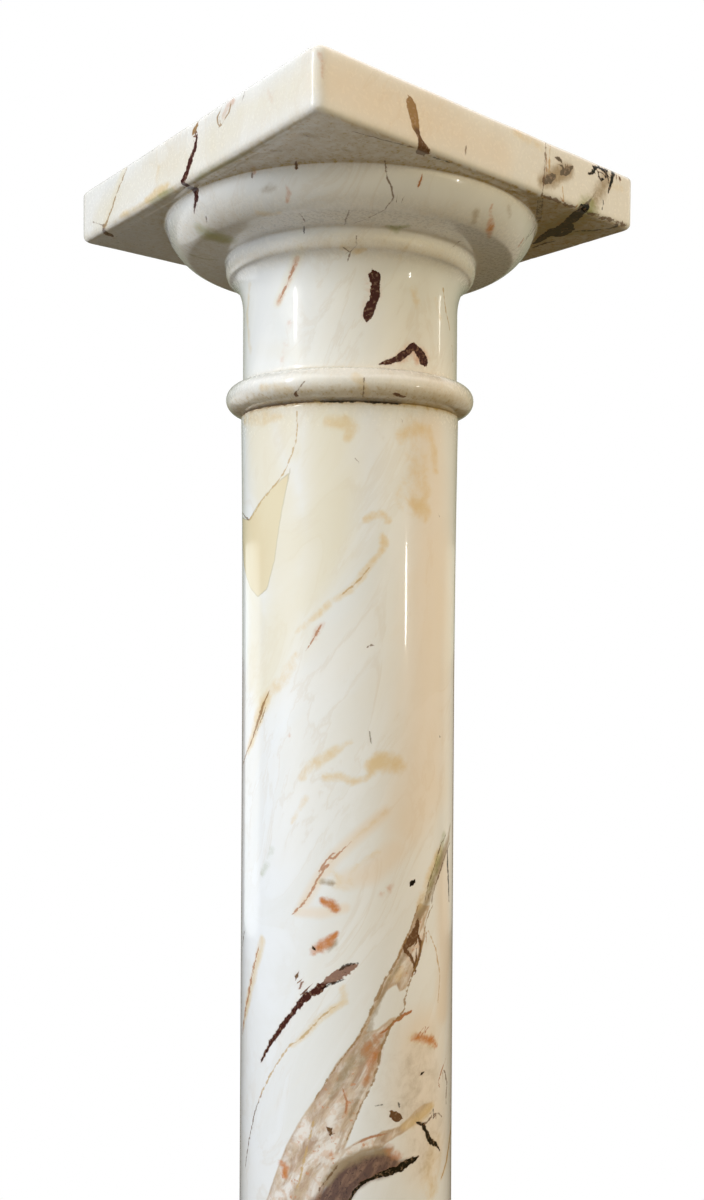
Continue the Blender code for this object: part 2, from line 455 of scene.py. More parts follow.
capitalMarks = {
    "leftFaceVein": ("bold", "maroon", [(197.4, 134, 0.8), (195, 148, 2.7), (190, 162, 3.9), (186.5, 173, 3.6),
        (182.6, 182, 3.3), (189, 187, 2.7), (194, 189, 3)]),
    "leftVeinOnEchinus": ("bold", "maroon", [(192, 189.5, 2.6), (196.5, 190.5, 4.2), (196.5, 197, 2.6),
        (195, 204, 1.4), (194.3, 214, 0.5)]),
    "leftVeinHead": ("bold", "bronze", [(197.5, 123.5, 1.6), (195, 129, 2.9), (192.5, 134.5, 1.3)]),
    "leftThinLine": ("fine", "bronze", [(127, 168, 1), (117, 192, 1), (112, 208, 1.1), (104.5, 228, 1.3)]),
    "leftThinBand": ("cream", 0.9, [(124, 170, 4), (112, 203, 5), (104, 226, 4)]),
    "leftChipStain": ("bold", "umber", [(103.5, 229, 1.3), (105.5, 232.5, 3.4), (109, 234.5, 4.2),
        (112.5, 236.5, 2)]),
    "leftHoney": ("ochre", 1.0, [(146, 201, 3), (154, 195, 4.5), (161, 190, 4), (168, 185, 2.5)]),
    "leftHoneyUp": ("ochre", 0.5, [(156, 180, 3), (159, 168, 3)]),
    "leftMoss": ("olive", 0.8, [(152, 203, 2.5), (162, 197, 3), (172, 190, 2)]),
    "leftMossTwo": ("olive", 0.7, [(198, 180, 3), (206, 174, 4), (218, 169, 4), (240, 158, 3)]),
    "leftDashes": ("fine", "umber", [(105, 226, 0.6), (93, 222, 0.5)]),
    "leftSmudge": ("russet", 0.4, [(234, 100, 3), (228, 106, 4), (224, 114, 4)]),
    "leftSmudgeLine": ("fine", "bronze", [(231, 103, 0.9), (229, 112, 1.1), (222, 124, 1), (219, 127, 0.6)]),
    "leftSmudgeLineTwo": ("fine", "bronze", [(222, 107, 0.7), (217, 118, 0.9), (218, 125, 0.7)]),
    "leftHair": ("fine", "umber", [(245, 91, 0.4), (242, 101, 0.4)]),
    "leftPink": ("russet", 0.3, [(268, 91, 3), (271, 100, 3)]),
    "leftFaceCream": ("cream", 0.6, [(100, 215, 14), (150, 175, 16), (200, 150, 16), (250, 115, 18), (308, 80, 16)]),
    # peach on the abacus's right face: partly the stone's tint, partly painted warm light from the right
    "rightFacePeachAndWarmLight": ("peach", 0.75, [(335, 85, 20), (380, 105, 20), (440, 125, 20), (500, 155, 18)]),
    "frontCorner": ("russet", 0.35, [(319, 52, 2.5), (323, 62, 3), (322, 75, 2)]),
    "rightBlob": ("bold", "bronze", [(409, 98, 3), (411, 104, 7.5), (413, 113, 8.5), (414.5, 121, 7), (416, 128, 4)]),
    "rightBlobFoot": ("bold", "umber", [(416.5, 129, 3), (419, 136, 2.4), (421, 143, 4.4), (422, 148.5, 8),
        (423, 152.5, 10)]),
    "rightFoot": ("fine", "black", [(430, 156.5, 1), (442, 160, 0.9), (455, 163.5, 0.5)]),
    "rightMark": ("fine", "umber", [(466.2, 146, 0.6), (465.3, 154.6, 0.8)]),
    "rightHoney": ("ochre", 0.5, [(516, 132, 4), (530, 138, 5), (541, 145, 4)]),
    "rightCrack": ("fine", "umber", [(545.6, 143, 0.9), (545.2, 158, 0.8), (544.5, 172, 0.8), (542.8, 190, 0.9),
        (542, 197, 1)]),
    "rightCrackTan": ("fine", "ochre", [(550, 146, 0.9), (549.4, 160, 1), (548.6, 172, 0.8)]),
    "rightHairline": ("fine", "ochre", [(562, 185, 0.5), (563.5, 195, 0.5), (563, 202, 0.5)]),
    "rightSpots": ("bold", "slate", [(543, 181, 2), (547, 180, 5), (551, 178, 4.4), (555, 176, 2)]),
    "rightSpotsArm": ("bold", "slate", [(561, 173, 2.4), (566, 171, 5), (569, 170, 2.6), (573, 166.5, 0.7)]),
    "rightSpotsHaze": ("grey", 1.0, [(542, 181, 5), (550, 178, 8), (558, 174, 6), (568, 170, 6)]),
    "rightSpotsTop": ("bold", "slate", [(555.5, 158, 1.2), (560, 159, 2.1), (562, 162.5, 1.7)]),
    "rightSpotsLink": ("bold", "slate", [(567, 165, 1), (568, 168, 1.5)]),
    "endSpeckOne": ("bold", "black", [(588, 173, 0.8), (592, 173.5, 1.4), (594.5, 170, 1.8), (597, 168, 1.3),
        (598.5, 166, 0.6)]),
    "endSpeckTwo": ("bold", "black", [(592, 165.5, 0.6), (602, 169, 1), (606, 171, 1.6), (606, 175, 1.5),
        (605, 178, 0.7)]),
    "endSpeckFour": ("bold", "black", [(598, 175, 1.4), (599, 177, 1.4)]),
    "endSpeckThree": ("bold", "black", [(601, 180.5, 1.7), (603.5, 179.3, 1.2)]),
    "endLine": ("bold", "black", [(611.5, 171.5, 1.4), (613.5, 174.5, 2.4), (611.5, 181, 1.8), (609.5, 188, 1.4),
        (608, 193, 0.6)]),
    "endDash": ("bold", "umber", [(619, 176.5, 0.8), (620.5, 181, 1.4)]),
    "endLineLow": ("fine", "black", [(603, 199.5, 1), (603.5, 203, 0.8), (602, 209.5, 0.8)]),
    "endGreyBand": ("grey", 0.8, [(606, 180, 6), (600, 192, 6.5), (592, 204, 6), (588, 211, 5)]),
    "endBandEdge": ("fine", "slate", [(596, 191, 0.5), (592, 198, 0.8), (585, 205, 1.2), (577, 209, 0.8)]),
    "endHoney": ("ochre", 0.4, [(612, 184, 5), (622, 188, 4)]),
    "underBand": ("bold", "black", [(588, 206, 3.7), (583, 210, 9.2), (577, 215, 9.2), (571, 221, 8.3),
        (564, 226.5, 7.8), (557, 230, 11.5), (551, 233, 10.1), (544, 237, 6), (537, 242, 3.2), (531, 245, 1.6)]),
    "underBandTwo": ("bold", "black", [(569, 223, 3.2), (571, 229, 4), (566, 233, 5.2), (558, 236, 4.8)]),
    "underBandHaze": ("olive", 0.9, [(590, 208, 8), (575, 218, 14), (556, 228, 16), (540, 238, 10)]),
    "underBandShade": ("grey", 0.7, [(588, 210, 8), (572, 222, 14), (552, 232, 14)]),
    "underStreak": ("fine", "black", [(575, 231.5, 1.5), (582, 230.5, 1.7), (592, 231, 1.5), (602, 229, 1)]),
    "underStreakEnd": ("fine", "black", [(609, 229, 1.4), (614, 227, 2.2), (618, 224, 1)]),
    "underStreakTwo": ("fine", "black", [(532, 248, 1), (545, 243, 1.2), (556, 241, 0.8)]),
    "edgeDark": ("fine", "umber", [(543, 195.5, 1.5), (552, 199, 1.4), (563, 203.5, 1.5), (575, 208, 1.4)]),
    "edgeDarkTwo": ("fine", "umber", [(586, 213, 1.4), (600, 217, 1.7), (614, 221, 1.5), (626, 225, 1.9)]),
    "underGreen": ("olive", 0.8, [(580, 216, 6), (560, 234, 8), (590, 232, 6)]),
    "underSpeckOne": ("grey", 1.0, [(303, 134, 3), (314, 137, 3)]),
    "underSpeckDark": ("fine", "umber", [(303, 134, 0.7), (309, 137, 0.8)]),
    "underSpeckTwo": ("grey", 1.0, [(273, 151, 2), (282, 151, 1.5)]),
    "underSpeckThree": ("grey", 1.0, [(344, 150, 2), (351, 152, 2)]),
    "underSpeckFour": ("bold", "umber", [(295.5, 161, 0.9), (296.5, 165, 1.6), (296, 168.5, 1.2)]),
    "underSpeckFive": ("russet", 0.7, [(254, 166, 2), (254, 173, 1.6)]),
    "underLine": ("fine", "umber", [(351.5, 131, 0.5), (380, 139, 0.6), (414.6, 148, 0.6)]),
    "edgeLine": ("fine", "slate", [(542.8, 198, 0.7), (541, 217, 0.7), (531.4, 233, 0.6), (520, 248, 0.5)]),
    "edgeLineTwo": ("fine", "slate", [(538, 200, 0.5), (536, 220, 0.5), (526, 240, 0.5)]),
    "edgeRed": ("fine", "rust", [(523.7, 238, 0.9), (518, 247, 1)]),
    "echinusCrack": ("fine", "umber", [(385, 160, 1), (386.9, 179, 0.7), (391.7, 187, 0.6), (393.6, 199, 0.6),
        (384, 210, 0.5), (368.7, 218, 0.5), (355.3, 222.5, 0.4)]),
    "echinusDash": ("bold", "rust", [(422.3, 174.5, 0.6), (420, 181, 1.2), (417.5, 188, 0.6)]),
    "echinusDashTwo": ("fine", "umber", [(404, 196.5, 1), (401, 202.5, 0.8)]),
    "echinusMoss": ("olive", 0.9, [(388, 226, 2.5), (397, 227.5, 4), (407, 226, 3)]),
    "echinusHair": ("fine", "umber", [(349.6, 210, 0.4), (347, 217, 0.7), (344.2, 225, 0.5)]),
    "echinusGrey": ("grey", 0.5, [(476, 212, 4), (474, 222, 3)]),
    "echinusGreyTwo": ("grey", 0.4, [(509, 206, 3), (510, 216, 3)]),
    "echinusBrown": ("russet", 0.7, [(491.2, 206, 1.6), (490.5, 220, 2.4), (490, 228, 3.6), (489.3, 238, 1.6)]),
    "echinusHairTwo": ("fine", "umber", [(460, 241, 0.7), (453, 247, 0.5)]),
    "echinusGreen": ("olive", 0.95, [(204, 232, 7.5), (213, 236, 10.5), (224, 240, 9)]),
    "echinusTan": ("ochre", 0.6, [(258, 213, 2.6), (268, 215, 3.4), (280, 213, 2.6)]),
    "echinusRim": ("olive", 0.7, [(190, 254.5, 1.5), (204, 259, 1.5), (218, 260, 1)]),
    "echinusGreyLeft": ("grey", 0.45, [(262, 191, 3), (273, 188, 4)]),
    "echinusPinkLeft": ("russet", 0.6, [(286, 187, 2), (289, 192, 2.6), (287, 202, 1.6)]),
    "echinusShort": ("fine", "umber", [(252, 171, 0.8), (252, 178, 0.7)]),
    "echinusShortTwo": ("fine", "umber", [(206, 216, 0.7), (207, 223, 0.7)]),
    "echinusShortThree": ("fine", "umber", [(299.3, 213, 0.5), (303, 218, 0.6), (305, 222, 0.5)]),
    "echinusShortFour": ("fine", "black", [(304, 226, 0.9), (304, 234, 0.6)]),
    "annuletCrack": ("fine", "umber", [(356.3, 236, 0.5), (357, 245, 0.6), (350, 252, 0.6), (347.7, 261, 0.6)]),
    "annuletCrackTwo": ("fine", "umber", [(350, 252, 0.5), (343, 247, 0.5)]),
    "annuletSpeck": ("ochre", 0.7, [(343, 248, 3), (356, 251, 3), (365, 249, 2)]),
    "neckBar": ("bold", "maroon", [(374, 275.6, 7.5), (375.5, 283, 6.2), (375.5, 292, 6.2), (374, 299, 6)]),
    "neckBarLow": ("bold", "maroon", [(373, 302, 5.5), (370, 309, 6.5), (367.5, 315, 5.2), (366.5, 321, 1.5)]),
    "neckBarHalo": ("russet", 0.35, [(372, 280, 7), (371, 300, 7), (368, 316, 6)]),
    "neckArm": ("bold", "maroon", [(379, 364, 0.9), (389, 362, 2), (398, 358.5, 3.4), (406, 352.5, 3.4),
        (411, 347, 4)]),
    "neckArmTwo": ("bold", "maroon", [(412, 345.5, 4), (417, 350, 5), (422, 356, 7.5), (424, 361, 7.5),
        (425.5, 364, 4)]),
    "neckCream": ("cream", 0.35, [(262, 350, 12), (300, 352, 10)]),
    "abacusCream": ("cream", 0.7, [(240, 114, 10), (264, 103, 10)]),
    "leftArrisDirt": ("olive", 0.5, [(206, 175, 3), (230, 163, 3.4), (260, 147, 3), (290, 131, 2.6), (308, 124, 2)]),
    "leftArrisWarm": ("ochre", 0.6, [(120, 216, 3), (146, 204, 3), (176, 189, 3)]),
    "neckArmHalo": ("russet", 0.5, [(392, 361, 4), (412, 352, 8), (424, 358, 7)]),
    "neckEdgeVein": ("fine", "ochre", [(443, 288, 0.7), (446, 312, 0.9), (450, 330, 0.6)]),
    "neckEdgeVeinLow": ("fine", "ochre", [(452, 345, 0.6), (453, 362, 0.8)]),
    "neckRightTan": ("ochre", 0.45, [(414, 290, 5), (418, 304, 5)]),
    "neckRightTanTwo": ("ochre", 0.4, [(436, 300, 4), (440, 318, 4)]),
    "neckLeftTan": ("ochre", 0.5, [(250, 285, 3), (247, 315, 3), (250, 350, 4)]),
    "neckPink": ("fine", "rust", [(296, 262, 1), (289, 280, 1.1), (280, 299, 0.8)]),
    "neckPinkHalo": ("russet", 0.5, [(297, 258, 2.5), (289, 280, 3), (279, 302, 3)]),
    "neckPinkLow": ("russet", 0.3, [(290, 322, 3), (285, 345, 4), (281, 362, 3)]),
    "neckPinkTop": ("cream", 0.7, [(300, 250, 5), (290, 275, 6), (278, 302, 5)]),
    "astragalTriangle": ("fine", "umber", [(305, 381, 0.5), (297, 391, 0.8), (295, 395, 1.2)]),
    "astragalTriangleFoot": ("bold", "umber", [(295.5, 392, 0.7), (296, 396, 2.2)]),
    "astragalTan": ("ochre", 0.6, [(355, 376, 4), (363, 384, 5), (366, 394, 4)]),
    "astragalTanLeft": ("ochre", 0.5, [(262, 388, 4), (276, 386, 5), (290, 391, 4)]),
    "astragalCrack": ("fine", "umber", [(364, 377, 0.5), (364, 388, 0.5), (363, 397, 0.8)]),
    "astragalSpot": ("bold", "umber", [(394, 394, 1.8), (399, 395.5, 1.6), (405, 397, 1.2)]),
}

shaftMarks = {
    "patchLine": ("fine", "ochre", [(296.8, 411, 0.5), (297.5, 425, 0.6), (296, 441.5, 0.6), (291, 456, 0.6),
        (285, 471, 0.7), (274.5, 485.4, 0.8), (262, 500, 0.8), (253, 515, 0.8), (249, 520.3, 0.9)]),
    "patchLineEnd": ("fine", "umber", [(249, 520.3, 0.9), (245, 516, 0.9), (242.5, 513, 0.6)]),
    "creamTop": ("cream", 1.0, [(255, 425, 20), (268, 480, 26), (290, 545, 28), (280, 620, 30), (262, 690, 18)]),
    "creamTopMiddle": ("cream", 1.0, [(330, 425, 26), (328, 480, 26), (325, 540, 26), (300, 600, 20)]),
    "dirtyTop": ("ochre", 0.6, [(245, 422, 5), (262, 418, 6), (280, 416, 4)]),
    "dirtyTopMiddle": ("ochre", 0.75, [(328, 421, 5), (342, 422, 6), (354, 427, 5), (348, 438, 4)]),
    "greyTopSmudge": ("grey", 0.3, [(378, 430, 3), (382, 438, 2.6)]),
    "honeyOne": ("ochre", 0.75, [(402, 436, 6), (414, 430, 7), (428, 432, 6), (433, 446, 5), (436, 470, 4)]),
    "honeyTwo": ("ochre", 0.9, [(412, 503, 6.3), (419, 507, 8), (427, 512, 5.8), (426, 520, 3.4)]),
    "honeyTwoUp": ("ochre", 0.6, [(424, 480, 5), (428, 492, 5), (424, 500, 5)]),
    "honeyThree": ("ochre", 0.45, [(404, 484, 6), (399, 498, 5), (402, 508, 3)]),
    "honeyCloud": ("ochre", 0.42, [(414, 428, 12), (418, 470, 15), (412, 506, 13)]),
    "creamLeft": ("cream", 1.0, [(250, 560, 14), (256, 620, 18), (252, 680, 12)]),
    "creamTopLeft": ("cream", 0.8, [(286, 425, 14), (292, 450, 14)]),
    "midHaze": ("ochre", 0.4, [(332, 874, 8), (344, 884, 9)]),
    "rightHaze": ("peach", 1.0, [(442, 860, 12), (446, 960, 14), (442, 1010, 12)]),
    "lowRightEdge": ("ochre", 0.5, [(436, 1150, 12), (430, 1185, 14)]),
    "honeyFour": ("ochre", 0.8, [(366, 519, 3), (372, 516, 3.4), (384, 515, 3.4), (388, 521, 3)]),
    "honeyFive": ("ochre", 0.85, [(382, 536, 3), (384, 543, 4), (381, 552, 3)]),
    "oliveHaze": ("cream", 1.0, [(336, 520, 10), (333, 545, 12)]),
    "honeyVein": ("ochre", 0.6, [(381, 552, 2.4), (372, 562, 3.1), (362, 576, 3.6), (350, 590, 3.6), (333, 600, 3.1),
        (318, 614, 3.1), (306, 624, 3.1), (297, 632, 2.4)]),
    "lowSmear": ("ochre", 0.55, [(296, 655, 3), (288, 672, 6), (278, 684, 6), (268, 694, 4)]),
    "honeyVeinCore": ("fine", "ochre", [(370, 566, 0.4), (362, 577, 0.8), (352, 587, 0.8), (340, 596, 0.5)]),
    "redLine": ("fine", "rust", [(321, 625, 1), (314, 638, 0.8), (305.5, 651, 0.4)]),
    "redLineHalo": ("russet", 0.45, [(321, 625, 3), (314, 638, 3)]),
    "smallSpot": ("fine", "umber", [(366, 647, 0.5), (370, 645, 0.9), (374, 645, 0.5)]),
    "hairDash": ("fine", "umber", [(355, 458, 0.4), (359, 462, 0.5)]),
    "speckHigh": ("fine", "umber", [(402, 420.5, 0.7), (402.6, 421.6, 0.7)]),
    "speckRight": ("fine", "umber", [(439, 515.5, 0.8), (439.6, 516.8, 0.8)]),
    "leftVein": ("bold", "bronze", [(270, 690, 0.4), (266, 698, 0.7), (262.5, 707, 1.6), (258, 722, 1.6),
        (252, 740, 0.9), (246, 754, 0.7), (243, 765, 0.4)]),
    "leftVeinHalo": ("ochre", 1.0, [(268, 696, 4.2), (262, 706, 6.2), (256, 726, 5), (248, 750, 3.6)]),
    "leftVeinBeside": ("fine", "bronze", [(266, 706, 0.5), (262, 718, 0.7), (255, 736, 0.5)]),
    "leftVeinBranch": ("ochre", 0.45, [(294, 665, 5), (284, 680, 6), (272, 690, 5)]),
    "uprightHair": ("fine", "slate", [(370, 731, 0.5), (371, 744, 0.7)]),
    "dotOne": ("fine", "black", [(439.6, 736, 0.9), (440, 737, 0.9)]),
    "dotTwo": ("russet", 0.6, [(288, 734, 1.6), (289, 736, 1.6)]),
    "orangeOne": ("ochre", 0.55, [(302, 778, 3.4), (311, 767, 5.2), (322, 759, 5.2), (336, 750, 3.9),
        (350, 742, 2.6)]),
    "orangeLow": ("ochre", 0.45, [(306, 797, 3), (300, 808, 3), (292, 822, 2)]),
    "orangeTwo": ("ochre", 0.75, [(325, 777, 3.1), (340, 777, 4.1), (353, 782, 3.1), (366, 779, 3.1),
        (373, 772, 3.6)]),
    "orangeThree": ("ochre", 0.9, [(372, 766, 6), (382, 762, 8.5), (392, 763, 8.5), (400, 767, 6)]),
    "orangeThreeUp": ("ochre", 0.7, [(376, 758, 5), (392, 757, 5), (400, 760, 4)]),
    # peach down the right side of the shaft: partly the stone's tint, partly painted warm light from the right
    "peachAndWarmLightRight": ("peach", 0.9, [(432, 436, 20), (434, 520, 26), (433, 600, 30), (430, 700, 32), (424, 780, 34),
        (410, 822, 22)]),
    "peachVein": ("fine", "rust", [(352, 841, 0.3), (336, 856, 0.8), (321, 874, 0.9), (313, 889, 0.9),
        (305, 902, 0.9), (292, 915, 0.9)]),
    "peachVeinSide": ("fine", "rust", [(334, 852, 0.4), (324, 864, 0.7), (318, 872, 0.5)]),
    "peachVeinHalo": ("peach", 1.0, [(386, 812, 6), (368, 827, 6), (352, 841, 6), (336, 856, 6), (320, 876, 5),
        (304, 903, 5)]),
    "peachVeinWarm": ("ochre", 0.4, [(386, 812, 3), (368, 827, 2.6), (352, 841, 2.6), (334, 858, 3), (316, 884, 3),
        (294, 914, 3)]),
    "peachVeinTwo": ("ochre", 0.5, [(378, 852, 2.6), (364, 861, 2.6), (350, 872, 2.6)]),
    "peachHaze": ("peach", 0.9, [(345, 880, 8), (372, 872, 10), (396, 850, 12)]),
    "greyVein": ("grey", 1.0, [(450, 826, 2), (448, 840, 3.4), (443, 856, 4.6), (437, 872, 5), (431, 888, 4.6),
        (426, 904, 4.2), (418, 918, 3.4)]),
    "greyVeinHaze": ("olive", 0.5, [(444, 836, 4.9), (436, 868, 5.6), (428, 890, 4.9)]),
    "greyVeinLine": ("fine", "umber", [(446, 834, 0.8), (439, 850, 1), (434, 868, 1), (429, 882, 0.8),
        (425, 900, 0.7)]),
    "greyVeinLineTwo": ("fine", "umber", [(450, 842, 0.7), (445, 856, 0.8), (440, 872, 0.9), (434, 888, 0.7),
        (431, 906, 0.5)]),
    "blackEdge": ("bold", "black", [(447.4, 850, 0.7), (447.6, 865, 1.6), (448.4, 880, 1.3), (449, 902, 0.9)]),
    "greyVeinWarm": ("ochre", 0.8, [(440, 850, 4), (431, 874, 5), (425, 894, 6), (420, 908, 4)]),
    "greyVeinFoot": ("grey", 0.45, [(430, 882, 4), (425, 896, 5), (420, 910, 4)]),
    "blackSpot": ("bold", "black", [(414, 880, 1.8), (412.5, 883, 2.6), (411, 886, 1.6)]),
    "creamSpotLeft": ("olive", 0.42, [(271, 850, 4), (266, 864, 5), (262, 874, 3)]),
    "redSpotOne": ("russet", 1.0, [(323, 900.5, 3), (330, 904, 4.2), (336, 909, 3)]),
    "redSpotSmear": ("peach", 1.0, [(298, 912, 4), (320, 913, 5), (345, 908, 4)]),
    "redSpotTwo": ("russet", 1.0, [(315, 950, 4), (322, 946, 5), (331, 939, 3.4), (337, 933, 1.8)]),
    "redSpotTwoSpeck": ("bold", "black", [(312.5, 946.5, 1.1), (314.5, 949.5, 1.7)]),
    "paleSpot": ("russet", 0.4, [(382, 893, 4), (388, 890, 4.4), (392, 886, 2)]),
    "greySpecks": ("grey", 0.75, [(322, 881, 2.6), (332, 883, 2.6)]),
    "greySpecksTwo": ("grey", 0.75, [(328, 949, 2.4), (335, 942, 2.6)]),
    "darkVeinHead": ("bold", "plum", [(357, 964, 1), (351, 968, 3.4), (342, 973, 4.6), (333, 978, 4.2),
        (325, 983, 3)]),
    "darkVein": ("bold", "maroon", [(326, 983, 1.1), (321, 987, 4.1), (313, 993, 3.2), (305, 998, 2.5),
        (298, 1006, 2.3), (284, 1024, 2.1), (271, 1042, 1.6), (260.5, 1062, 0.8)]),
    "darkVeinEdge": ("fine", "black", [(358, 963, 0.8), (350, 963.5, 1.6), (343, 967, 1.6), (339, 970, 0.7)]),
    "darkVeinUnder": ("fine", "black", [(345, 979, 0.7), (337, 982, 0.9), (330, 984, 0.9), (322, 989, 1)]),
    "dashOne": ("bold", "umber", [(299, 971, 0.6), (297, 976, 1.4), (295, 980, 0.6)]),
    "dashTwo": ("bold", "plum", [(304, 981, 0.6), (301, 985, 1.1), (298.5, 989, 0.6)]),
    "ochreVein": ("fine", "ochre", [(336, 1006, 0.5), (322, 1016, 0.9), (310, 1029, 1), (302, 1038, 0.8),
        (288, 1047, 0.6), (271, 1073, 0.8), (258, 1101, 0.7)]),
    "ochreVeinLow": ("fine", "umber", [(262, 1094, 0.4), (256, 1108, 0.7), (250.5, 1132, 0.8), (247.5, 1150, 0.6),
        (245, 1168, 0.4)]),
    "ochreVeinHalo": ("ochre", 0.7, [(344, 990, 4), (345, 1002, 3), (334, 1008, 2.6), (318, 1021, 3), (306, 1034, 3),
        (292, 1046, 2)]),
    "leftEdgeLine": ("fine", "rust", [(259, 945, 0.6), (253, 970, 1.4), (248, 997, 1.7), (244.5, 1015, 1.5),
        (242.5, 1035, 1)]),
    "leftEdgeDark": ("fine", "slate", [(244.5, 930, 0.6), (242.5, 945, 1), (241.5, 960, 0.8)]),
    "leftEdgeHalo": ("ochre", 0.8, [(262, 940, 4), (253, 979, 4), (247, 1004, 4), (244, 1024, 3)]),
    "brecciaHead": ("bold", "umber", [(418, 918, 0.8), (417, 926, 2.6), (414, 936, 5.2), (409, 943, 5.6),
        (404, 949, 2.6)]),
    "brecciaProng": ("bold", "umber", [(404, 949, 1.8), (410, 955, 1.3), (414, 964, 1.3), (416, 972, 0.7)]),
    "brecciaProngRight": ("bold", "umber", [(418, 936, 1.8), (421, 944, 1.4), (420, 954, 1.3), (417, 964, 1.2),
        (412, 975, 0.9)]),
    "brecciaLeftLine": ("fine", "bronze", [(419, 904, 0.6), (415, 915, 0.8), (410, 930, 0.9), (404, 944, 1),
        (398, 958, 1), (390, 972, 1.1), (383, 984, 1.1), (376, 1000, 1.3), (368, 1017, 1.1), (361, 1034, 0.9),
        (352, 1046, 0.9), (338, 1064, 0.8), (326, 1082, 0.7), (315, 1100, 0.6)]),
    "brecciaRightLine": ("fine", "bronze", [(433, 904, 0.5), (427, 918, 0.7), (424, 932, 0.8), (421, 950, 0.9),
        (415, 968, 0.9), (409, 984, 1.1), (405, 998, 1.1), (404, 1010, 0.9), (398, 1018, 1.3), (391, 1024, 1.1),
        (386, 1036, 1.1), (381, 1050, 0.9), (378, 1064, 1.1), (374, 1080, 0.9), (367, 1094, 0.8), (358, 1112, 0.7),
        (352, 1128, 0.6), (346, 1142, 0.5)]),
    "brecciaCross": ("bold", "rust", [(412, 1011, 0.8), (404, 1015, 1.8), (396, 1020, 1.5), (389, 1028, 1),
        (380, 1034, 0.8)]),
    "brecciaBend": ("grey", 0.8, [(382, 1034, 2.4), (374, 1041, 3.4), (366, 1050, 4.4), (360, 1062, 3)]),
    "brecciaBendRed": ("russet", 0.55, [(384, 1033, 4), (374, 1040, 6), (364, 1050, 7)]),
    "brecciaRibbon": ("grey", 0.8, [(413, 930, 2.6), (407, 948, 2.6), (399, 966, 2), (389, 980, 1.6),
        (380, 1000, 1.8), (372, 1018, 2.6), (368, 1036, 4), (362, 1050, 5), (351, 1064, 4), (341, 1080, 3),
        (330, 1098, 2)]),
    "brecciaRibbonRight": ("grey", 0.7, [(386, 1032, 2), (380, 1046, 2.6), (374, 1062, 2.6), (368, 1078, 2.4),
        (359, 1096, 2), (350, 1116, 1.6)]),
    "brecciaRedRight": ("russet", 0.55, [(378, 1050, 4), (372, 1066, 5), (364, 1084, 4)]),
    "bodyRim": ("grey", 1.0, [(326, 1182, 3), (336, 1170, 3.4), (346, 1161, 4), (362, 1155, 4), (378, 1151, 3.4),
        (390, 1151, 2.6)]),
    "brecciaRibbonTan": ("ochre", 0.55, [(400, 968, 5), (398, 980, 4), (390, 976, 4)]),
    "brecciaRibbonLow": ("ochre", 0.35, [(350, 1060, 5), (355, 1075, 4), (352, 1085, 3)]),
    "brecciaInner": ("russet", 0.5, [(345, 1093, 2.5), (347, 1106, 2.5), (344, 1118, 1.8)]),
    "brecciaInnerLine": ("fine", "rust", [(343, 1088, 0.6), (347, 1102, 0.9), (345, 1114, 0.6)]),
    "brecciaSpots": ("bold", "umber", [(327, 1127, 1), (329, 1131, 1.6), (332, 1129, 1.2)]),
    "brecciaSpotsTwo": ("bold", "umber", [(328.5, 1131, 0.8), (330, 1136, 0.7)]),
    "brecciaFleck": ("russet", 0.8, [(331, 1152, 1.6), (332, 1154, 1.6)]),
    "lowRibbon": ("ochre", 0.2, [(330, 1085, 4), (318, 1105, 4), (306, 1124, 4), (292, 1145, 4), (284, 1162, 5),
        (278, 1180, 4), (273, 1198, 4)]),
    "lowRibbonTwo": ("grey", 0.25, [(322, 1112, 3), (312, 1132, 3), (306, 1150, 3), (300, 1172, 3), (296, 1196, 4)]),
    "lowRibbonLine": ("fine", "ochre", [(314, 1120, 0.7), (309, 1140, 0.8), (303, 1165, 0.8), (297, 1190, 0.7)]),
    "handMark": ("russet", 0.85, [(412, 1039, 2), (419, 1037, 3.4), (424, 1039, 3.4), (433, 1040.5, 2.6),
        (437, 1047, 1.6)]),
    "lowRightTan": ("peach", 1.0, [(420, 1040, 24), (420, 1085, 30), (430, 1150, 26)]),
    "lowRightShade": ("grey", 0.3, [(418, 1060, 28), (415, 1100, 34), (430, 1150, 28)]),
    "handHalo": ("ochre", 0.6, [(412, 1038, 4), (424, 1038, 5), (436, 1043, 4)]),
    "handFinger": ("fine", "rust", [(424, 1038, 1.1), (425, 1032, 0.8), (429, 1026, 0.4)]),
    "handFingerTwo": ("fine", "rust", [(417, 1037, 0.9), (421, 1031, 0.8), (424, 1027, 0.4)]),
    "smallDark": ("bold", "black", [(420, 1075, 0.8), (422, 1073.5, 1.4), (424, 1072, 0.7)]),
    "edgeHairOne": ("fine", "rust", [(446, 1058, 0.7), (442, 1070, 0.8), (438.5, 1080, 1.5), (439.5, 1087, 0.8)]),
    "edgeHairTwo": ("fine", "umber", [(444, 1070, 0.7), (447, 1083, 1), (446, 1096, 0.8), (446, 1105, 0.7)]),
    "edgeHairThree": ("fine", "ochre", [(428, 930, 0.4), (436, 950, 0.8), (440, 975, 0.7), (438, 1003, 0.6)]),
    "darkSpot": ("bold", "umber", [(391, 1113, 2.6), (396, 1116, 4.6), (400, 1118, 3.4)]),
    "darkSpotHair": ("fine", "black", [(375, 1106, 0.4), (384, 1104, 0.5)]),
    "darkSpotHairTwo": ("fine", "black", [(398, 1102, 0.6), (399.5, 1108, 0.8)]),
    "branchOne": ("bold", "black", [(416, 1122, 0.8), (423, 1125, 1.4), (427, 1133, 1.8), (430, 1141, 2.6),
        (436, 1144, 1.6), (440, 1151, 0.5)]),
    "branchTan": ("ochre", 0.9, [(404, 1127, 3), (412, 1123, 4), (420, 1118, 4), (428, 1110, 4), (432, 1106, 3)]),
    "branchTwo": ("fine", "umber", [(423, 1125, 0.9), (429, 1120, 1), (434, 1114, 0.9), (438, 1113, 1),
        (442, 1117, 0.6)]),
    "branchThree": ("fine", "black", [(433, 1108, 0.4), (434, 1114, 0.8), (432, 1120, 0.5)]),
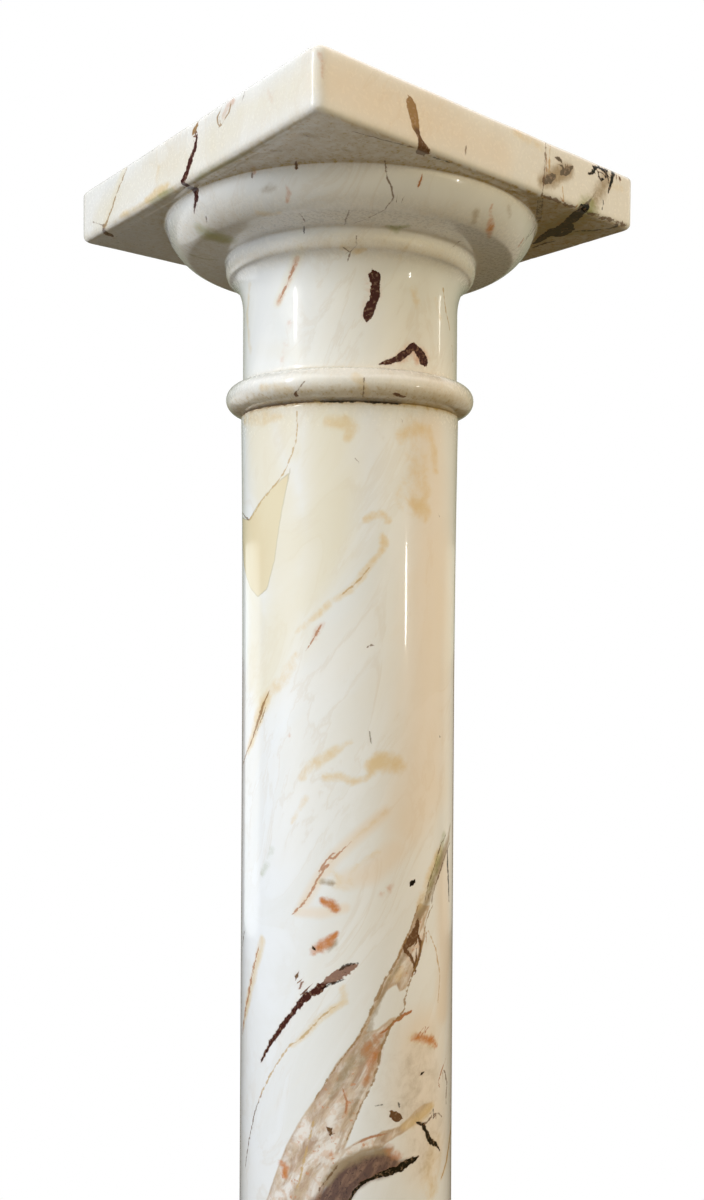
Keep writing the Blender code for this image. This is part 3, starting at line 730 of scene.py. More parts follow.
    "bodyEdge": ("bold", "black", [(419, 1156, 0.6), (413, 1160, 2.4), (405, 1165, 3.6), (396, 1170, 3.8),
        (386, 1173, 3), (374, 1177, 1.6), (362, 1183, 1.3), (354, 1192, 1.2), (347, 1204, 1)]),
    "bodySpeckleBand": ("russet", 0.5, [(388, 1148, 4), (394, 1154, 4), (400, 1156, 3)]),
    "bodyTopLine": ("fine", "rust", [(352, 1146, 0.4), (366, 1139, 1), (378, 1135, 1.1), (388, 1134, 0.5)]),
    "bodyLeftLine": ("fine", "umber", [(338, 1166, 0.7), (328, 1178, 0.8), (318, 1192, 0.9)]),
    "lowRust": ("russet", 1.0, [(281, 1163, 2.6), (286, 1167, 3), (284, 1175, 2.6)]),
}

# Outlines of larger areas on the shaft: first pixels of the picture, then (angle, height) where it is out of sight
shaftAreas = {
    "tanPatch": ("tan", [(263, 498), (275, 485), (288, 474), (291, 467), (282, 509), (277, 540), (274.5, 560),
        (267, 589), (258, 597), (250, 587), (244, 565), (242.5, 540), (242.5, 518), (249.5, 520)]),
    "veinHead": ("breccia", [(419, 904), (414, 920), (407, 936), (400, 950), (395, 964), (389, 975), (384, 986),
        (388, 990), (396, 984), (400, 991), (406, 990), (410, 979), (416, 965), (422, 950), (425, 935), (424, 922),
        (430, 906)]),
    "brownVein": ("breccia", [(384, 982), (376, 1000), (367, 1018), (361, 1032), (350, 1047), (335, 1065),
        (322, 1088), (304, 1114), (286, 1147), (273.5, 1180), (261, 1218), (251, 1252)],
        [(-88, 0.285), (-118, 0.215), (-128, 0.17), (-100, 0.2), (-62, 0.262), (-38, 0.31)],
        [(316, 1212), (326, 1186), (338, 1164), (349, 1138), (357, 1114), (366, 1094), (375, 1076), (380, 1056),
        (385, 1040), (391, 1025), (400, 1015), (390, 1018), (377, 1030), (366, 1033), (372, 1016), (381, 1000),
        (388, 988)]),
    "lightBranch": ("breccia", [(336, 1162), (345, 1150), (362, 1139), (385, 1131), (398, 1127), (404, 1122),
        (414, 1112), (424, 1104), (432, 1102), (432, 1109), (421, 1119), (410, 1128), (398, 1136), (386, 1143),
        (382, 1148), (362, 1152), (345, 1162)]),
    "darkBody": ("dark", [(305, 1204), (319, 1190), (333, 1172), (345, 1160), (360, 1153), (376, 1149), (386, 1146),
        (392, 1152), (400, 1158), (414, 1157), (419, 1156), (405, 1168), (390, 1177), (372, 1181), (358, 1190),
        (350, 1204), (335, 1232), (316, 1266), (298, 1290), (288, 1280), (296, 1235)]),
}
areaChannels = {"tan": 0, "breccia": 1, "dark": 2}


stoneTrees = {stone.name: BVHTree.FromPolygons([v.co for v in stone.data.vertices],
                                               [p.vertices for p in stone.data.polygons]) for stone in stones}
cameraSide = math.radians(photoCamera["aroundAxis"] - 90)


outside = {"beside": 0.5, "above": 2}    # where rays that look for the stone start
markSpacing = 4          # pixels, degrees or millimetres between the points of a laid mark
longestStep = 22 * mm    # past it, the mark has left one surface for another


def spotAlong(start, direction):
    hits = []
    for name, tree in stoneTrees.items():
        place, _, _, away = tree.ray_cast(start, direction)
        if place is not None:
            hits.append((away, name, place))
    return min(hits, key=lambda hit: hit[0]) if hits else None


def markSpot(hit, halfWidth):
    return hit and (hit[1], hit[2], halfWidth)


def seenSpot(x, y, halfWidth=1.0):
    hit = spotAlong(eye, photoRay(x, y))
    return hit and markSpot(hit, halfWidth * hit[0] / photoCamera["focalPixels"])


def roundSpot(angle, height, halfWidth=1.0):
    # angle in degrees from the camera, height and half width in millimetres
    around = cameraSide + math.radians(angle)
    outward = Vector((math.cos(around), math.sin(around), 0))
    return markSpot(spotAlong(outward * outside["beside"] + Vector((0, 0, height * mm)), -outward), halfWidth * mm)


def topSpot(x, y, halfWidth=1.0):
    # straight down on the abacus, millimetres
    return markSpot(spotAlong(Vector((x * mm, y * mm, outside["above"])), Vector((0, 0, -1))), halfWidth * mm)


laidMarks = {stone.name: [] for stone in stones}


def layMark(kind, look, points, spotAt):
    dense = [points[0]]
    for a, b in zip(points, points[1:]):
        steps = stepsAlong(math.dist(a[:2], b[:2]), markSpacing, 1)
        dense += [tuple(p + (q - p) * i / steps for p, q in zip(a, b)) for i in range(1, steps + 1)]
    runs = []
    last = None
    for point in dense:
        spot = spotAt(*point)
        if spot and last and spot[0] == last[0] and (spot[1] - last[1]).length < longestStep:
            runs[-1][1].append(spot[1:])
        elif spot:
            runs.append((spot[0], [spot[1:]]))
        last = spot
    for stoneName, run in runs:
        if len(run) > 1:
            laidMarks[stoneName].append((kind, look, run))


for marks in (capitalMarks, shaftMarks):
    for kind, look, points in marks.values():
        layMark(kind, look, points, seenSpot)
jointDirt = {    # angles from the camera, and half width in millimetres
    "black": (-14, 30, 1.1),
    "umber": (-78, -14, 0.8),
}
belowJoint = 0.15
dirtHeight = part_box("shaft")[1].z / mm - belowJoint
for tone, (first, last, halfWidth) in jointDirt.items():
    layMark("bold", tone, [(angle, dirtHeight, halfWidth) for angle in range(first, last, markSpacing)], roundSpot)
print("marks laid from the photograph's side")


def smooth(low, high, value):
    t = np.clip((value - low) / (high - low), 0, 1)
    return t * t * (3 - 2 * t)


def addAttribute(stone, name, kind, field, values):
    stone.data.attributes.new(name, kind, 'POINT').data.foreach_set(field, values.ravel())


def meshArrays(mesh):
    count = len(mesh.vertices)
    places = np.empty(count * 3)
    normals = np.empty(count * 3)
    mesh.vertices.foreach_get("co", places)
    mesh.vertex_normals.foreach_get("vector", normals)
    return places.reshape(count, 3), normals.reshape(count, 3)


unmarked = 50 * mm    # distance from a vein where there is none
lineReach = 9 * mm
stainFade = (0.1, 2.3)   # in half widths of the stain
stainReach = 2.4


def paintMarks(stone, marks, gate):
    # bold and fine hold (signed distance across, half width left, tone), all distances in millimetres
    places, normals = meshArrays(stone.data)
    count = len(places)
    layers = {name: np.zeros((count, 3)) for name in ("bold", "fine", "warmStain", "coolStain")}
    nearest = {name: np.full(count, unmarked) for name in ("bold", "fine")}
    for name in nearest:
        layers[name][:] = (unmarked, -unmarked, 0)
    for kind, look, run in marks:
        isLine = kind in nearest
        for index, (a, b) in enumerate(zip(run, run[1:])):
            start, end = np.array(a[0]), np.array(b[0])
            length = np.linalg.norm(end - start)
            if length < 0.001 * mm:
                continue
            margin = lineReach if isLine else stainReach * max(a[1], b[1])
            low, high = np.minimum(start, end) - margin, np.maximum(start, end) + margin
            near = np.flatnonzero(np.all((places > low) & (places < high), axis=1))
            along = (end - start) / length
            travel = (places[near] - start) @ along
            share = np.clip(travel / length, 0, 1)
            offset = places[near] - (start + np.outer(share * length, along))
            away = np.linalg.norm(offset, axis=1)
            width = a[1] + (b[1] - a[1]) * share
            if not isLine:
                name, channel = stainChannels[kind]
                value = look * (1 - smooth(*stainFade, away / width))
                layers[name][near, channel] = np.maximum(layers[name][near, channel], value)
                continue
            side = np.copysign(away, np.einsum("ij,ij->i", np.cross(normals[near], along), offset))
            left = np.minimum(width, width + gate - away)
            if index == 0:
                left = np.minimum(left, width + travel)
            if index == len(run) - 2:
                left = np.minimum(left, width + length - travel)
            closer = away < nearest[kind][near]
            chosen = near[closer]
            nearest[kind][chosen] = away[closer]
            tone = np.full(len(near), veinTones[look][0])
            layers[kind][chosen] = np.stack([side, left, tone], axis=1)[closer]
    for name, layer in layers.items():
        if name in nearest:
            layer[:, :2] /= mm
        addAttribute(stone, name, 'FLOAT_VECTOR', "vector", layer)


def unrolled(places):
    angles = (np.arctan2(places[:, 1], places[:, 0]) - cameraSide + math.pi) % math.tau - math.pi
    return np.stack([angles * shaftSizes["waist"], places[:, 2]], axis=1)


areaReach = 20 * mm


def insideDistance(points, corners):
    nearest = np.full(len(points), areaReach)
    inside = np.zeros(len(points), bool)
    for a, b in zip(corners, np.roll(corners, -1, axis=0)):
        edge = b - a
        share = np.clip((points - a) @ edge / (edge @ edge), 0, 1)
        nearest = np.minimum(nearest, np.linalg.norm(points - a - np.outer(share, edge), axis=1))
        crosses = (points[:, 1] < a[1]) != (points[:, 1] < b[1])
        rise = edge[1] or 1    # a level edge crosses no point's height
        inside ^= crosses & (points[:, 0] < a[0] + (points[:, 1] - a[1]) / rise * edge[0])
    return np.where(inside, nearest, -nearest)


def paintAreas(stone, areas):
    places = unrolled(meshArrays(stone.data)[0])
    depths = np.full((len(places), 3), -areaReach)
    for kind, seen, *unseen in areas.values():
        corners = [unrolled(np.array([seenSpot(*p)[1]]))[0] for p in seen]
        if unseen:
            around, back = unseen
            corners += [np.array((math.radians(angle) * shaftSizes["waist"], height)) for angle, height in around]
            corners += [unrolled(np.array([seenSpot(*p)[1]]))[0] for p in back]
        channel = areaChannels[kind]
        depths[:, channel] = np.maximum(depths[:, channel], insideDistance(places, np.array(corners)))
    addAttribute(stone, "areas", 'FLOAT_VECTOR', "vector", depths / mm)


# Dirt and painted shade on the capital. These places are darkened as painted shade, with some dirt: the lower half of
# the astragal, the hollow below the annulet, the annulet, the echinus's lower side, its top under the abacus, and the
# abacus's underside and its crease. The arrises carry dirt, and the other creases are just darker.
capitalDirtAndShade = {    # amount, and for a crease how far it fades, in millimetres
    "astragal": 0.16,
    "astragalFoot": 0.66,
    "neckCrease": (0.5, 1.8),
    "annuletFoot": (0.45, 1.6),
    "annuletTop": (0.5, 1.2),
    "underEchinus": 0.3,
    "annulet": 0.45,
    "hollow": 0.3,
    "underAbacus": (0.6, 2),
    "abacus": 0.12,
    "soffit": 0.8,
    "soffitCrease": (0.3, 5),
    "arris": 0.3,
    "leftArris": 0.4,
    "upperArris": (0.4, 1.5),
}


def crease(away, amount, depth):
    # away from the crease in metres, and the depth that the darkening fades over in millimetres
    return amount * np.exp(-np.maximum(away, 0) / (depth * mm))


def capitalSoilAndShade(places):
    # darker in the creases; painted shade, with some dirt, under the mouldings, on the annulet and on the abacus's
    # underside; dirt along the abacus's edges
    s, dirtAndShade = capitalSizes, capitalDirtAndShade
    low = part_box("capital")[0].z
    x, y, z = places.T
    radius = np.hypot(x, y)
    neckLow = low + s["astragalHeight"]
    annuletLow = neckLow + s["neckHeight"] + s["hollowHeight"]
    annuletHigh = annuletLow + s["annuletHeight"]
    abacusLow = annuletHigh + s["soffitRise"] + s["echinusHeight"]
    abacusHigh = abacusLow + s["abacusHeight"]
    outward = s["abacusHalf"] - np.maximum(np.abs(x), np.abs(y))
    toRight = (x * cameraRight.x + y * cameraRight.y) / s["abacusHalf"]
    leftward = smooth(-0.15, -0.75, toRight)

    onAstragal = (z < neckLow) & (radius > s["shaftTop"] - mm)
    onAnnulet = (z > annuletLow) & (z < annuletHigh)
    echinusReach = annuletHigh + 13 * mm + 9 * mm * leftward
    soil = np.maximum.reduce([
        # painted shade with some dirt on the lower half of the astragal
        (dirtAndShade["astragal"] + dirtAndShade["astragalFoot"] * smooth(low + 13 * mm, low + 2 * mm, z)) * onAstragal,
        crease(np.abs(z - neckLow), *dirtAndShade["neckCrease"]),
        crease(np.abs(z - annuletLow), *dirtAndShade["annuletFoot"]),
        crease(np.abs(z - annuletHigh), *dirtAndShade["annuletTop"]) * (radius < s["soffit"]),
        # painted shade on the echinus's lower side, stronger on the left
        dirtAndShade["underEchinus"] * (1 + leftward) * smooth(echinusReach, annuletHigh, z) * (z > annuletHigh - 0.2 * mm),
        # painted shade on the annulet under the overhang
        dirtAndShade["annulet"] * smooth(annuletHigh, annuletLow, z) * onAnnulet,
        # painted shade in the hollow below the annulet
        dirtAndShade["hollow"] * smooth(annuletLow - 9 * mm, annuletLow, z) * (z < annuletLow),
        # painted shade on the echinus's top under the abacus
        crease(abacusLow - z, *dirtAndShade["underAbacus"]),
    ])

    onAbacus = z > abacusLow - 0.3 * mm
    under = (z < abacusLow + 0.5 * mm) & onAbacus
    # painted shade with dirt on the abacus's underside, more towards the right and less at the far left
    soffitShadeAndSoil = dirtAndShade["soffit"] + 0.2 * smooth(-0.1, 0.9, toRight) - 0.35 * smooth(-0.5, -1.2, toRight)
    soil = np.where(onAbacus, dirtAndShade["abacus"], soil)
    soil = np.where(under, soffitShadeAndSoil + crease(radius - s["echinus"], *dirtAndShade["soffitCrease"]), soil)
    onLeft = smooth(0.5, 0.9, -x / s["abacusHalf"]) * (np.abs(x) > np.abs(y) - 3 * mm)
    arris = crease(z - abacusLow, 1, 3.5) * (outward < 5 * mm) * onAbacus
    upper = crease(abacusHigh - z, *dirtAndShade["upperArris"]) * (outward < 4 * mm) * onAbacus
    return np.maximum.reduce([soil, arris * (dirtAndShade["arris"] + dirtAndShade["leftArris"] * onLeft), upper])


def shaftSoilAndShade(places):
    low, high = (corner.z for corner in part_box("shaft"))
    z = places[:, 2]
    # a dark joint line under the astragal, and painted shade fading a few millimetres down from it; darker at the
    # foot
    joint = crease(high - z, 1.3, 1.2) + crease(high - z, 0.4, 7)
    return np.maximum(joint, crease(z - low, 0.7, 3))


def baseDarkening(places):
    # darker along the creases of the mouldings, at the foot and at the top, and a little overall
    low, high = (corner.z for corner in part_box("base"))
    s = baseSizes
    z = places[:, 2]
    plinthHigh = low + s["plinthHeight"]
    torusHigh = plinthHigh + s["torusHeight"]
    filletHigh = torusHigh + s["filletHeight"]
    creases = [crease(np.abs(z - level), 0.6, depth)
               for level, depth in ((plinthHigh, 2.2), (torusHigh, 1.6), (filletHigh, 1.4))]
    return np.maximum.reduce([0.1 + crease(z - low, 0.6, 5), crease(high - z, 0.5, 1.5), *creases])


# Veins of the sides that the photograph doesn't show, fewer and plainer. Angles are degrees from the camera,
# lengths millimetres.
hiddenVeins = {
    "seed": 41,
    "tones": ["ochre", "ochre", "rust", "umber", "umber", "black", "slate"],
    "halos": {"ochre": "ochre", "rust": "ochre", "umber": "russet", "black": "grey", "slate": "grey"},
    "shaft": {"count": 15, "centre": (112, 248), "span": (18, 62), "level": (360, 830), "rise": (50, 170),
              "widths": (0.5, 0.6, 0.8, 1.3, 2)},
    "shaftLow": {"count": 9, "centre": (-80, 90), "span": (20, 55), "level": (170, 300), "rise": (50, 140),
                 "widths": (0.5, 0.7, 1.3)},
    "capital": {"count": 12, "angle": (95, 262), "height": (918, 1050), "drop": (12, 34), "lean": (-9, 9),
                "widths": (0.5, 0.6, 1.4)},
    "base": {"count": 22, "angle": (-180, 180), "height": (8, 112), "span": (6, 26), "climb": (12, 46),
             "stray": (-3, 3), "within": (3, 120), "widths": (0.5, 0.7, 1.5)},
    "top": {"count": 5, "start": (-120, 40), "reach": (60, 130), "slope": (0.5, 1), "widths": (0.4, 1.2)},
}


planeLooks = {
    "pointEvery": 7,      # degrees
    "walk": (-4, 4),
    "taperPower": 0.7,
    "dipsTowards": 8,     # degrees
    "thinnest": 0.25,
    "swell": (0.5, 1.3),
    "haloStrength": (0.35, 0.7),
}


def veinKind(halfWidth):
    return "bold" if halfWidth > 1 else "fine"


def tapered(width, t):
    return width * (1 - 0.6 * abs(2 * t - 1))


def planeVein(draw, angles, level, rise, halfWidth, tone):
    # a vein is a plane through the block, so on the round it climbs and falls as a wave
    first, last = angles
    p = planeLooks
    count = max(4, round(abs(last - first) / p["pointEvery"]))
    walk = 0
    points = []
    for i in range(count + 1):
        angle = first + (last - first) * i / count
        walk += draw.uniform(*p["walk"])
        taper = math.sin(math.pi * (0.06 + 0.9 * i / count)) ** p["taperPower"]
        height = level + rise * math.sin(math.radians(angle - p["dipsTowards"])) + walk
        points.append((angle, height, max(p["thinnest"], halfWidth * taper * draw.uniform(*p["swell"]))))
    layMark(veinKind(halfWidth), tone, points, roundSpot)
    halo = hiddenVeins["halos"][tone]
    layMark(halo, draw.uniform(*p["haloStrength"]), [(a, h, 2.2 + w * 2) for a, h, w in points], roundSpot)


def layHiddenVeins(h):
    draw = random.Random(h["seed"])
    for v in (h["shaft"], h["shaftLow"]):
        for _ in range(v["count"]):
            centre = draw.uniform(*v["centre"])
            half = draw.uniform(*v["span"]) / 2
            planeVein(draw, (centre - half, centre + half), draw.uniform(*v["level"]), draw.uniform(*v["rise"]),
                      draw.choice(v["widths"]), draw.choice(h["tones"]))
    v = h["capital"]
    for _ in range(v["count"]):
        angle, height, drop, lean = (draw.uniform(*v[key]) for key in ("angle", "height", "drop", "lean"))
        tone = draw.choice(h["tones"])
        width = draw.choice(v["widths"])
        points = [(angle + lean * t, height - drop * t, tapered(width, t)) for t in (0, 0.3, 0.6, 1)]
        layMark(veinKind(width), tone, points, roundSpot)
    v = h["base"]
    lowest, highest = v["within"]
    for _ in range(v["count"]):
        angle, height, span, climb = (draw.uniform(*v[key]) for key in ("angle", "height", "span", "climb"))
        tone = draw.choice(h["tones"])
        width = draw.choice(v["widths"])
        points = []
        for t in (0, 0.25, 0.5, 0.75, 1):
            level = height + climb * (t - 0.5) + draw.uniform(*v["stray"])
            points.append((angle + span * t, min(max(level, lowest), highest), tapered(width, t)))
        layMark(veinKind(width), tone, points, roundSpot)
        layMark("ochre", draw.uniform(0.3, 0.6), [(a, z, 3 + w) for a, z, w in points], roundSpot)
    v = h["top"]
    for _ in range(v["count"]):
        x, y, reach = (draw.uniform(*v[key]) for key in ("start", "start", "reach"))
        points = [(x + reach * t, y + reach * t * draw.uniform(*v["slope"]), draw.uniform(*v["widths"]))
                  for t in (0, 0.2, 0.4, 0.6, 0.8, 1)]
        layMark("fine", draw.choice(h["tones"]), points, topSpot)
        layMark("ochre", 0.5, [(a, b, 3.5) for a, b, _ in points], topSpot)


layHiddenVeins(hiddenVeins)
veinGates = {"capitalStone": 2.2 * mm, "shaftStone": 3.4 * mm, "baseStone": 3 * mm}    # about one face of the mesh
soilAndShadeFields = {"capitalStone": capitalSoilAndShade, "shaftStone": shaftSoilAndShade, "baseStone": baseDarkening}
# veins and stains, and dirt with painted shade, are painted per vertex
for stone in stones:
    paintMarks(stone, laidMarks[stone.name], veinGates[stone.name])
    addAttribute(stone, "soil", 'FLOAT', "value", soilAndShadeFields[stone.name](meshArrays(stone.data)[0]))
paintAreas(shaftStone, shaftAreas)
print("marks painted:", {name: len(marks) for name, marks in laidMarks.items()})


# Materials
def addNode(tree, kind, inputs=None, **settings):
    made = tree.nodes.new(kind)
    for name, value in settings.items():
        setattr(made, name, value)
    for name, value in (inputs or {}).items():
        socket = made.inputs[name]
        if isinstance(value, bpy.types.NodeSocket):
            tree.links.new(value, socket)
        else:
            socket.default_value = value
    return made


def maths(tree, operation, a, b=0.0):
    return addNode(tree, "ShaderNodeMath", {0: a, 1: b}, operation=operation).outputs[0]


def plus(tree, a, b):
    return maths(tree, 'ADD', a, b)


def times(tree, a, b):
    return maths(tree, 'MULTIPLY', a, b)


def shifted(tree, value, noiseValue, amount):
    # a noise lies around one half, so it moves the value both ways
    return plus(tree, value, times(tree, maths(tree, 'SUBTRACT', noiseValue, 0.5), amount))


def blend(tree, factor, a, b):
    return addNode(tree, "ShaderNodeMix", {0: factor, 6: a, 7: b}, data_type='RGBA').outputs[2]


def ramp(tree, value, low, high, bottom=0.0, top=1.0):
    return addNode(tree, "ShaderNodeMapRange", {0: value, 1: low, 2: high, 3: bottom, 4: top},
                   interpolation_type='SMOOTHSTEP').outputs[0]


def grain(tree, place, scale, detail=4.0, roughness=0.55, distortion=0.0):
    return addNode(tree, "ShaderNodeTexNoise", {"Vector": place, "Scale": scale, "Detail": detail,
                   "Roughness": roughness, "Distortion": distortion}).outputs["Fac"]


marbleColours = {
    "warmWhite": (0.875, 0.885, 0.875, 1),
    "coolWhite": (0.865, 0.89, 0.915, 1),
    "cloud": (0.82, 0.835, 0.835, 1),
    "milkyCream": (0.86, 0.825, 0.75, 1),
    "wisp": (0.62, 0.50, 0.36, 1),
    "ochre": (0.77, 0.60, 0.34, 1),
    "cream": (0.82, 0.75, 0.56, 1),
    "peach": (0.84, 0.66, 0.47, 1),
    "russet": (0.58, 0.23, 0.08, 1),
    "grey": (0.35, 0.27, 0.17, 1),
    "olive": (0.27, 0.33, 0.13, 1),
    # brown of the dirt and of the painted shade
    "soil": (0.49, 0.345, 0.13, 1),
    "tanPatch": (0.75, 0.61, 0.33, 1),
    "patchLine": (0.36, 0.31, 0.20, 1),
    "brecciaTan": (0.60, 0.46, 0.31, 1),
    "brecciaBrown": (0.42, 0.27, 0.17, 1),
    "brecciaPocket": (0.85, 0.81, 0.77, 1),
    "brecciaPink": (0.76, 0.60, 0.49, 1),
    "darkPlum": (0.034, 0.012, 0.011, 1),
    "darkBody": (0.105, 0.048, 0.037, 1),
    "darkBrown": (0.245, 0.135, 0.088, 1),
}


def toneColour(tree, tone):
    node = addNode(tree, "ShaderNodeValToRGB", {"Fac": tone})
    stops = node.color_ramp.elements
    tones = list(veinTones.values())
    stops[0].position, stops[0].color = tones[0]
    stops[1].position, stops[1].color = tones[-1]
    for position, colour in tones[1:-1]:
        stops.new(position).color = colour
    return node.outputs["Color"]


def attributeParts(tree, name):
    attribute = addNode(tree, "ShaderNodeAttribute", attribute_name=name)
    return addNode(tree, "ShaderNodeSeparateXYZ", {0: attribute.outputs["Vector"]}).outputs


def veinMask(tree, parts, wander, thickness, wobble, edge):
    # wander, a noise around one half, shifts the vein sideways, and thickness multiplies its width
    side = maths(tree, 'ABSOLUTE', shifted(tree, parts[0], wander, wobble))
    past = maths(tree, 'SUBTRACT', side, times(tree, parts[1], thickness))
    return ramp(tree, past, -edge, edge, 1, 0)


def tinted(tree, mask, colour, tint):
    return blend(tree, mask, colour, marbleColours[tint])


def stained(tree, colour, field, lump, tint, strength, ragged):
    # the noise eats into the soft field from its rim inwards
    eaten = shifted(tree, field, lump, ragged)
    mask = times(tree, ramp(tree, eaten, 0.05, 1.1), ramp(tree, field, 0, 0.4, 0, strength))
    return tinted(tree, mask, colour, tint)


# Noises: scale, detail, roughness and distortion. The slanted ones are drawn out along the bedding.
slantedNoises = {
    "clouds": (10, 5, 0.6, 0.7),
    "wisps": (24, 6, 0.6, 1.3),
    "lumps": (95, 5, 0.62, 0.6),
}
evenNoises = {
    "fineLumps": (430, 4, 0.6),
    "wander": (170, 4, 0.6),
    "thickness": (260, 3, 0.6),
    "blots": (85, 7, 0.7, 0.3),
}
slantedBrecciaNoises = {
    "pockets": (84, 5, 0.62, 0.6),
    "patches": (210, 6, 0.66, 0.4),
}
evenBrecciaNoises = {
    "rustSpots": (190, 3),
    "speckles": (620, 3, 0.7),
}
stainLooks = {    # noise, strength and raggedness, the lowest layer first
    "peach": ("clouds", 0.45, 0.7),
    "cream": ("wisps", 0.66, 0.8),
    "ochre": ("blots", 0.85, 1.7),
    "grey": ("blots", 0.9, 1.7),
    "olive": ("blots", 0.85, 1.4),
    "russet": ("blots", 1.0, 2),
}
veinLooks = {    # lengths in millimetres
    "boldWobble": 2.6,
    "boldEdge": 0.3,
    "boldSwell": (0.75, 1.5),
    "fray": 0.4,
    "haloEdge": 1.8,
    "haloStrength": 0.22,
    "fineWobble": 2.2,
    "fineEdge": 0.36,
    "fineSwell": (0.1, 1.5),
    "fineStrength": 0.8,
}
areaLooks = {    # how far the noise shifts each edge, in millimetres
    "tan": 1.2,
    "breccia": 3.6,
    "brecciaRim": 5,
    "darkFade": 4.5,
    "dark": 3.15,
}
polish = {
    "roughness": (0.17, 0.27),
    "soilRoughness": 0.3,
    "coat": 0.9,
    "coatRoughness": 0.05,
    "grainHeight": 0.05,
    "fineVeinDepth": 0.8,
    "boldVeinDepth": 0.12,
    "bumpStrength": 0.36,
    "bumpDistance": 0.3 * mm,
}
beddingSlope = (0.5, 0.86)    # to the right and upwards in the camera's view
beddingStretch = (1, 1, 0.3)


def noisesFrom(tree, place, settings):
    return {name: grain(tree, place, *values) for name, values in settings.items()}


def milkyBody(tree, body, n):
    # milky body with cream clouds and faint wisps along the bedding
    colour = tinted(tree, ramp(tree, n["wisps"], 0.35, 0.65, 0, 0.8), marbleColours[body], "cloud")
    colour = tinted(tree, ramp(tree, n["clouds"], 0.46, 0.72, 0, 0.5), colour, "milkyCream")
    ridge = maths(tree, 'ABSOLUTE', maths(tree, 'SUBTRACT', n["wisps"], 0.5))
    mask = times(tree, ramp(tree, ridge, 0, 0.035, 0.16, 0), ramp(tree, n["clouds"], 0.42, 0.6))
    return tinted(tree, mask, colour, "wisp")


def withAreas(tree, colour, n):
    # tan patch, then breccia with pockets and a browner rim, then the dark body
    tan, breccia, dark = attributeParts(tree, "areas")
    tanDepth = shifted(tree, tan, n["wander"], areaLooks["tan"])
    colour = tinted(tree, ramp(tree, tanDepth, -0.3, 0.5, 0, 0.8), colour, "tanPatch")
    tanRim = ramp(tree, maths(tree, 'ABSOLUTE', tanDepth), 0.25, 0.75, 0.55, 0)
    colour = tinted(tree, tanRim, colour, "patchLine")

    matrix = tinted(tree, ramp(tree, n["patches"], 0.34, 0.66), marbleColours["brecciaTan"], "brecciaBrown")
    pocket = tinted(tree, ramp(tree, n["wander"], 0.46, 0.64), marbleColours["brecciaPocket"], "brecciaPink")
    inside = blend(tree, ramp(tree, n["pockets"], 0.39, 0.60), matrix, pocket)
    inside = tinted(tree, ramp(tree, n["rustSpots"], 0.64, 0.70, 0, 0.7), inside, "russet")
    depth = shifted(tree, breccia, n["lumps"], areaLooks["breccia"])
    rim = ramp(tree, shifted(tree, depth, n["lumps"], areaLooks["brecciaRim"]), 0.3, 2.4, 0.75, 0)
    inside = blend(tree, rim, inside, matrix)
    colour = blend(tree, ramp(tree, depth, -0.9, 0.7, 0, 0.9), colour, inside)

    inner = tinted(tree, ramp(tree, n["patches"], 0.4, 0.62), marbleColours["darkBody"], "darkBrown")
    inner = tinted(tree, ramp(tree, n["speckles"], 0.55, 0.64, 0, 0.85), inner, "darkPlum")
    upperFade = ramp(tree, shifted(tree, dark, n["lumps"], areaLooks["darkFade"]), -1.5, 3.5, 0, 0.95)
    edge = ramp(tree, shifted(tree, dark, n["lumps"], areaLooks["dark"]), -1.2, 0.8)
    return blend(tree, maths(tree, 'MINIMUM', upperFade, edge), colour, inner)


def withStains(tree, colour, n):
    stains = {name: attributeParts(tree, name) for name in ("warmStain", "coolStain")}
    for tint, (lump, strength, ragged) in stainLooks.items():
        layer, channel = stainChannels[tint]
        colour = stained(tree, colour, stains[layer][channel], n[lump], tint, strength, ragged)
    return colour


